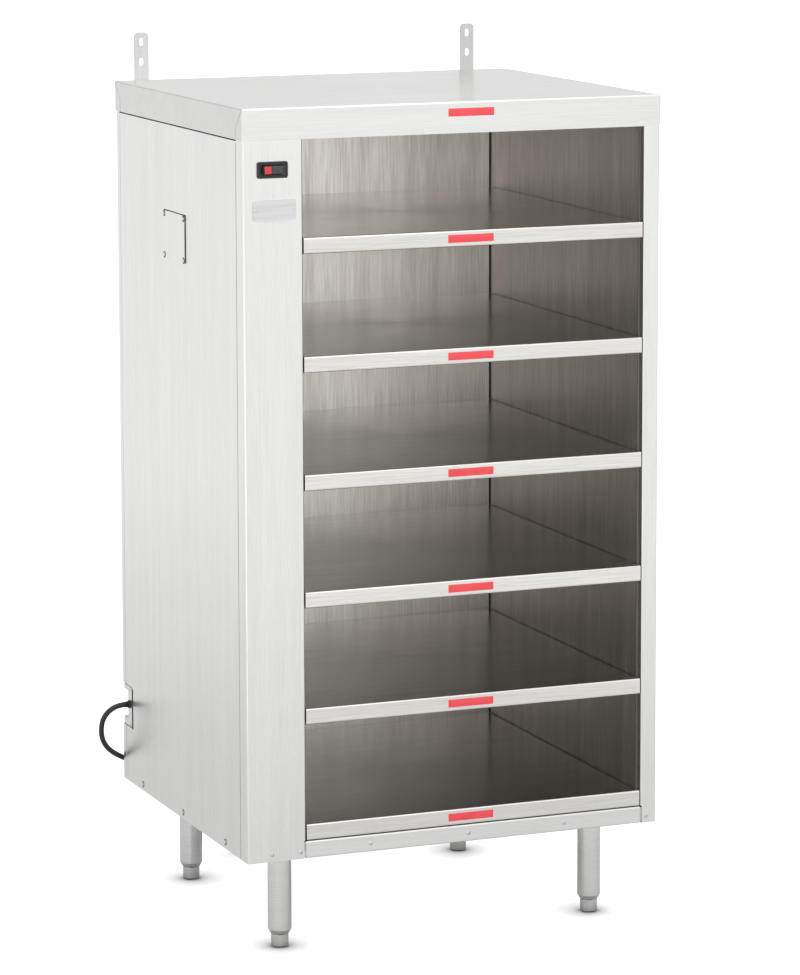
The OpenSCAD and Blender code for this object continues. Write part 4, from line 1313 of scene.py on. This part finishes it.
@dataclass
class MouldedPlug:
    """Moulded plug with two flat blades and a round earth pin."""

    start_mm: Point = (57.0, 345.0, 14.1)
    neck_mm: float = 22.0
    body_mm: Point = (20.0, 26.0, 28.0)
    blade_gap_mm: float = 6.35
    blade_mm: Point = (17.0, 1.5, 6.4)
    pin_mm: tuple[float, float] = (20.0, 4.8)

    def neck(self) -> bpy.types.Object:
        """Draws the ribbed neck out from the lead to the body.

        Returns:
            The neck.
        """
        profile = [(0.0, 5.6), (0.6, 6.0)]
        for rib in range(5):
            at, radius = 2.0 + rib * 3.4, 6.2 + rib * 0.62
            profile += [(at, radius), (at + 0.4, radius - 0.9)]
            profile += [(at + 1.4, radius - 0.8), (at + 1.8, radius + 0.3)]
        profile += [(self.neck_mm - 2, 9.6), (self.neck_mm + 2, 10.4)]
        return turned("plug_neck", 0, self.start_mm, profile, 48)

    def body(self) -> bpy.types.Object:
        """Models the grip: rounded, with three finger grooves on each side.

        Returns:
            The grip.
        """
        x, y, z = self.start_mm
        long, wide, _ = self.body_mm
        left = x + self.neck_mm
        body = block("plug_grip", (left + long / 2, y, z), self.body_mm)
        round_edges(body, lambda at, way: abs(way.x) > 0.9, 9.5, 8)
        round_edges(body, lambda at, way: at.x < (left + 0.1) * MM and abs(way.x) < 0.1, 4.5, 5)
        round_edges(body, lambda at, way: at.x > (left + long - 0.1) * MM and abs(way.x) < 0.1, 1.0, 3)
        for side in (-1, 1):
            for groove in range(3):
                at = (left + 7.0 + groove * 3.6, y + side * (wide / 2 + 0.6), z - 8)
                cut(body, turned("groove", 2, at, ((0, 0.6), (1.5, 1.2), (14.5, 1.2), (16, 0.6)), 16))
        return body

    def blades(self) -> bpy.types.Object:
        """Models the blades with their holes and the round pin.

        Returns:
            The blades and the pin as one piece.
        """
        x, y, z = self.start_mm
        long, thick, high = self.blade_mm
        face = x + self.neck_mm + self.body_mm[0]
        parts = []
        for side in (-1, 1):
            across = y + side * self.blade_gap_mm
            blade = block("blade", (face + long / 2 - 1, across, z), (long + 2, thick, high))
            round_edges(blade, lambda at, way: at.x > (face + long - 0.2) * MM and abs(way.y) > 0.9, 1.4, 4)
            cut(blade, turned("hole", 1, (face + long - 4.5, across, z), ((-2, 1.5), (2, 1.5)), 24))
            parts.append(blade)
        reach, thick = self.pin_mm
        half = thick / 2
        profile = (
            (-2, half), (reach - 2.2, half), (reach - 0.9, half * 0.86), (reach - 0.25, half * 0.52),
            (reach, half * 0.2),
        )
        parts.append(turned("pin", 0, (face, y, z + 8.5), profile, 32))
        return joined(parts, "plug_blades")

    def build(self) -> list[bpy.types.Object]:
        """Builds the plug.

        Returns:
            Its body and its blades.
        """
        shell = joined([self.body(), self.neck()], "moulded_plug")
        body = settle(shell, Finish.PVC_BLACK, smooth=30)
        blades = settle(self.blades(), Finish.BRASS)
        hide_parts("plug")
        return [body, blades]


@dataclass
class CoilTie:
    """Hook-and-loop band round the put-away coil."""

    middle_mm: Point = (9.0, 449.4, 9.9)
    size_mm: Point = (14.0, 21.4, 19.6)
    thick_mm: float = 1.1

    def build(self) -> bpy.types.Object:
        """Models the band as a sleeve with an overlapping tail."""
        x, y, z = self.middle_mm
        long, wide, high = self.size_mm
        band = block("coil_tie", self.middle_mm, self.size_mm)
        round_edges(band, lambda at, way: abs(way.x) > 0.9, 7.0, 6)
        edit(band)
        pick(lambda at, normal: abs(normal.x) > 0.9)
        bpy.ops.mesh.delete(type="FACE")
        deselect()
        wall = band.modifiers.new("wall", "SOLIDIFY")
        wall.thickness = self.thick_mm * MM
        wall.offset = -1
        bpy.context.view_layer.objects.active = band
        bpy.ops.object.modifier_apply(modifier=wall.name)
        tail = block("tail", (x, y + 1.0, z + high / 2 + 0.45), (long, 13.0, 0.9))
        round_edges(tail, lambda at, way: abs(way.z) > 0.9 and at.y > y * MM, 3.0, 4)
        round_edges(tail, lambda at, way: abs(way.z) < 0.2, 0.25, 2)
        return settle(joined([band, tail], "coil_tie"), Finish.SLEEVE)


@dataclass
class SeamShadowTapes(BodyFitting):
    """Black foam tapes behind the open seams, which paint the seams' shade, and dark sealant in the corners
    of the bays.
    """

    sheet_mm: float = 1.2
    tongue_mm: float = 5.0
    cap_z_mm: float = 1310.0
    front_return_mm: float = 32.0
    seam_mm: float = 1.2
    corner_x_mm: tuple[float, float] = (-252.7, 324.3)
    corner_y_mm: float = 303.3
    ceiling_mm: float = 1311.5
    shelf_mm: float = 27.0
    bead_mm: float = 2.2
    cap_shadow_tape_mm: Point = (0.8, 540.0, 9.0)
    upright_shadow_tape_mm: Point = (0.8, 7.0, 1060.0)
    upright_z_mm: float = 752.0
    seam_shadow_mm: Point = (2.0, 2.7, 1137.0)
    seam_z_mm: float = 736.5

    def shadow_tape(self, side: int) -> bpy.types.Object:
        """Lays the dark tapes of one side, as painted shade: one under the cap and one behind the front
        seam.

        Args:
            side: -1 for the left side, 1 for the right.

        Returns:
            The joined tapes.
        """
        skin = self.left_mm if side < 0 else self.right_mm
        name = "left" if side < 0 else "right"
        behind_tongue = skin - side * (self.tongue_mm - 0.4)
        under_cap = block("shadow_tape", (behind_tongue, 0.8, self.cap_z_mm - 1.2), self.cap_shadow_tape_mm)
        round_edges(under_cap, lambda at, way: abs(way.y) > 0.9, 0.25, 2)
        seam = self.front_mm + self.front_return_mm + self.seam_mm / 2
        behind_sheet = skin - side * (self.sheet_mm + 0.5)
        upright = block("shadow_tape", (behind_sheet, seam, self.upright_z_mm), self.upright_shadow_tape_mm)
        round_edges(upright, lambda at, way: abs(way.z) > 0.9, 0.25, 2)
        tapes = joined([under_cap, upright], f"{name}_seam_shadow_tapes")
        return settle(tapes, Finish.FOAM)

    def seam(self, side: int) -> None:
        """Fills the front seam of one side with a grey bead, flush with the sheets, that paints the seam's
        shadow line as painted shade.

        Args:
            side: -1 for the left side, 1 for the right.
        """
        skin = self.left_mm if side < 0 else self.right_mm
        name = "left" if side < 0 else "right"
        middle = self.front_mm + self.front_return_mm + self.seam_mm / 2 + 0.6
        bead = block("seam_shadow_bead", (skin - side * 0.88, middle, self.seam_z_mm), self.seam_shadow_mm)
        round_edges(bead, lambda at, way: abs(way.z) > 0.9 and (at.x - skin * MM) * side > 0, 0.5, 3)
        settle(bead, Finish.SEAM_GREY)
        bead.name = f"{name}_seam_shadow_bead"

    def bead(self, high: float) -> bpy.types.Object:
        """Models one sealant bead with a hollowed face, its corner at the origin.

        Args:
            high: its height, in millimetres.

        Returns:
            The bead.
        """
        size = self.bead_mm
        bead = block("bead", (-size / 2, -size / 2, high / 2), (size, size, high))
        edge = -0.9 * size * MM
        round_edges(bead, lambda at, way: abs(way.z) > 0.9 and at.x < edge and at.y < edge, size * 0.8, 4)
        return bead

    def build(self) -> None:
        """Lays the tapes and runs a bead up both rear corners of each bay."""
        for side in (-1, 1):
            self.shadow_tape(side)
            self.seam(side)
        tops = (self.ceiling_mm, *self.shelf_tops_mm)
        beads: list[bpy.types.Object] = []
        for above, floor in zip(tops, tops[1:]):
            roof = above if above == self.ceiling_mm else above - self.shelf_mm
            pattern = self.bead(roof - floor - 1)
            for x, mirror in zip(self.corner_x_mm, (-1, 1)):
                place = Matrix.Translation(Vector((x, self.corner_y_mm, floor + 0.5)) * MM)
                beads.append(copy_to(pattern, "bead", place @ Matrix.Diagonal((mirror, 1, 1, 1))))
            bpy.data.objects.remove(pattern)
        seal = joined(beads, "corner_sealant")
        edit(seal)
        face_out()
        settle(seal, Finish.SEALANT)


@dataclass
class PaintedShadowSeals(BodyFitting):
    """Black pieces: a pad under the service cover that paints its shadow line, washers under side screws
    whose rims paint the screws' shadows, and a dark strip along the cord notch's front edge.
    """

    cover_shadow_from_mm: Point = (-355.3, -39.1, 1090.0)
    cover_shadow_to_mm: Point = (-354.5, 67.3, 1168.2)
    notch_strip_from_mm: Point = (-354.3, 256.5, 261.5)
    notch_strip_to_mm: Point = (-352.3, 260.3, 330.5)
    shadow_washer_mm: float = 10.4

    def slab(self, name: str, low: Point, high: Point, corner_mm: float) -> bpy.types.Object:
        """Models a flat piece between two corners, its outline rounded.

        Args:
            name: the piece's name.
            low: its lowest corner, in millimetres.
            high: its highest corner, in millimetres.
            corner_mm: radius of its outline.

        Returns:
            The piece.
        """
        middle = tuple((a + b) / 2 for a, b in zip(low, high))
        piece = block(name, middle, tuple(b - a for a, b in zip(low, high)))
        round_edges(piece, lambda at, way: abs(way.x) > 0.9, corner_mm, 3)
        return piece

    def shadow_washer(self, x: float, y: float, z: float, side: int) -> bpy.types.Object:
        """Turns one dark washer on its seat; its rim paints the screw's shadow.

        Args:
            x: its seat along X, in millimetres.
            y: its seat along Y.
            z: its seat along Z.
            side: -1 for the left side, 1 for the right.

        Returns:
            The washer.
        """
        half = self.shadow_washer_mm / 2
        profile = ((0, half), (side * 0.35, half), (side * 0.5, half - 0.4))
        return turned("shadow_washer", 0, (x, y, z), profile, 28)

    def build(self) -> None:
        """Models the cover's shadow pad, the screws' shadow washers and the notch strip as one piece."""
        parts = [
            self.slab("cover_shadow", self.cover_shadow_from_mm, self.cover_shadow_to_mm, 1.5),
            self.slab("notch_strip", self.notch_strip_from_mm, self.notch_strip_to_mm, 0.8),
        ]
        for y in self.cover_y_mm:
            for z in self.cover_z_mm:
                parts.append(self.shadow_washer(self.left_mm - self.cover_mm, y, z, -1))
        for y in self.foot_y_mm:
            parts.append(self.shadow_washer(self.left_mm, y, self.foot_z_mm, -1))
            parts.append(self.shadow_washer(self.right_mm, y, self.foot_z_mm, 1))
        settle(joined(parts, "painted_shadow_seals"), Finish.FOAM)


def smooth_line(points: Sequence[Vector], parts: int) -> list[Vector]:
    """Runs a smooth curve through points.

    Args:
        points: the points it passes.
        parts: how many straight parts stand for each span.

    Returns:
        The curve's points, both ends included.
    """
    out: list[Vector] = []
    for i in range(len(points) - 1):
        p0, p1, p2 = points[max(i - 1, 0)], points[i], points[i + 1]
        p3 = points[min(i + 2, len(points) - 1)]
        for k in range(parts):
            u = k / parts
            out.append(
                0.5 * (2 * p1 + (p2 - p0) * u + (2 * p0 - 5 * p1 + 4 * p2 - p3) * u**2
                       + (3 * p1 - p0 - 3 * p2 + p3) * u**3)
            )
    return [*out, points[-1].copy()]


def line_length(line: Sequence[Vector]) -> float:
    """Adds up the length of a line of points."""
    return sum((b - a).length for a, b in zip(line, line[1:]))


def main() -> None:
    """Builds the whole scene in order."""
    logging.basicConfig(level=logging.INFO, format="%(message)s")
    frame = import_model()
    Studio().build()
    lead, line = MainsLead().build()
    LOG.info("mains lead: %.3f m", line_length(line))
    plug = MouldedPlug().build()
    tie = CoilTie().build()
    StrainBoot().build()
    SheetMetal().dress(frame["nodes"])
    PanScrews().build()
    RockerSwitch().build()
    RedStrips().build()
    PlainPlate().build()
    SeamShadowTapes().build()
    PaintedShadowSeals().build()


if __name__ == "__main__":
    main()
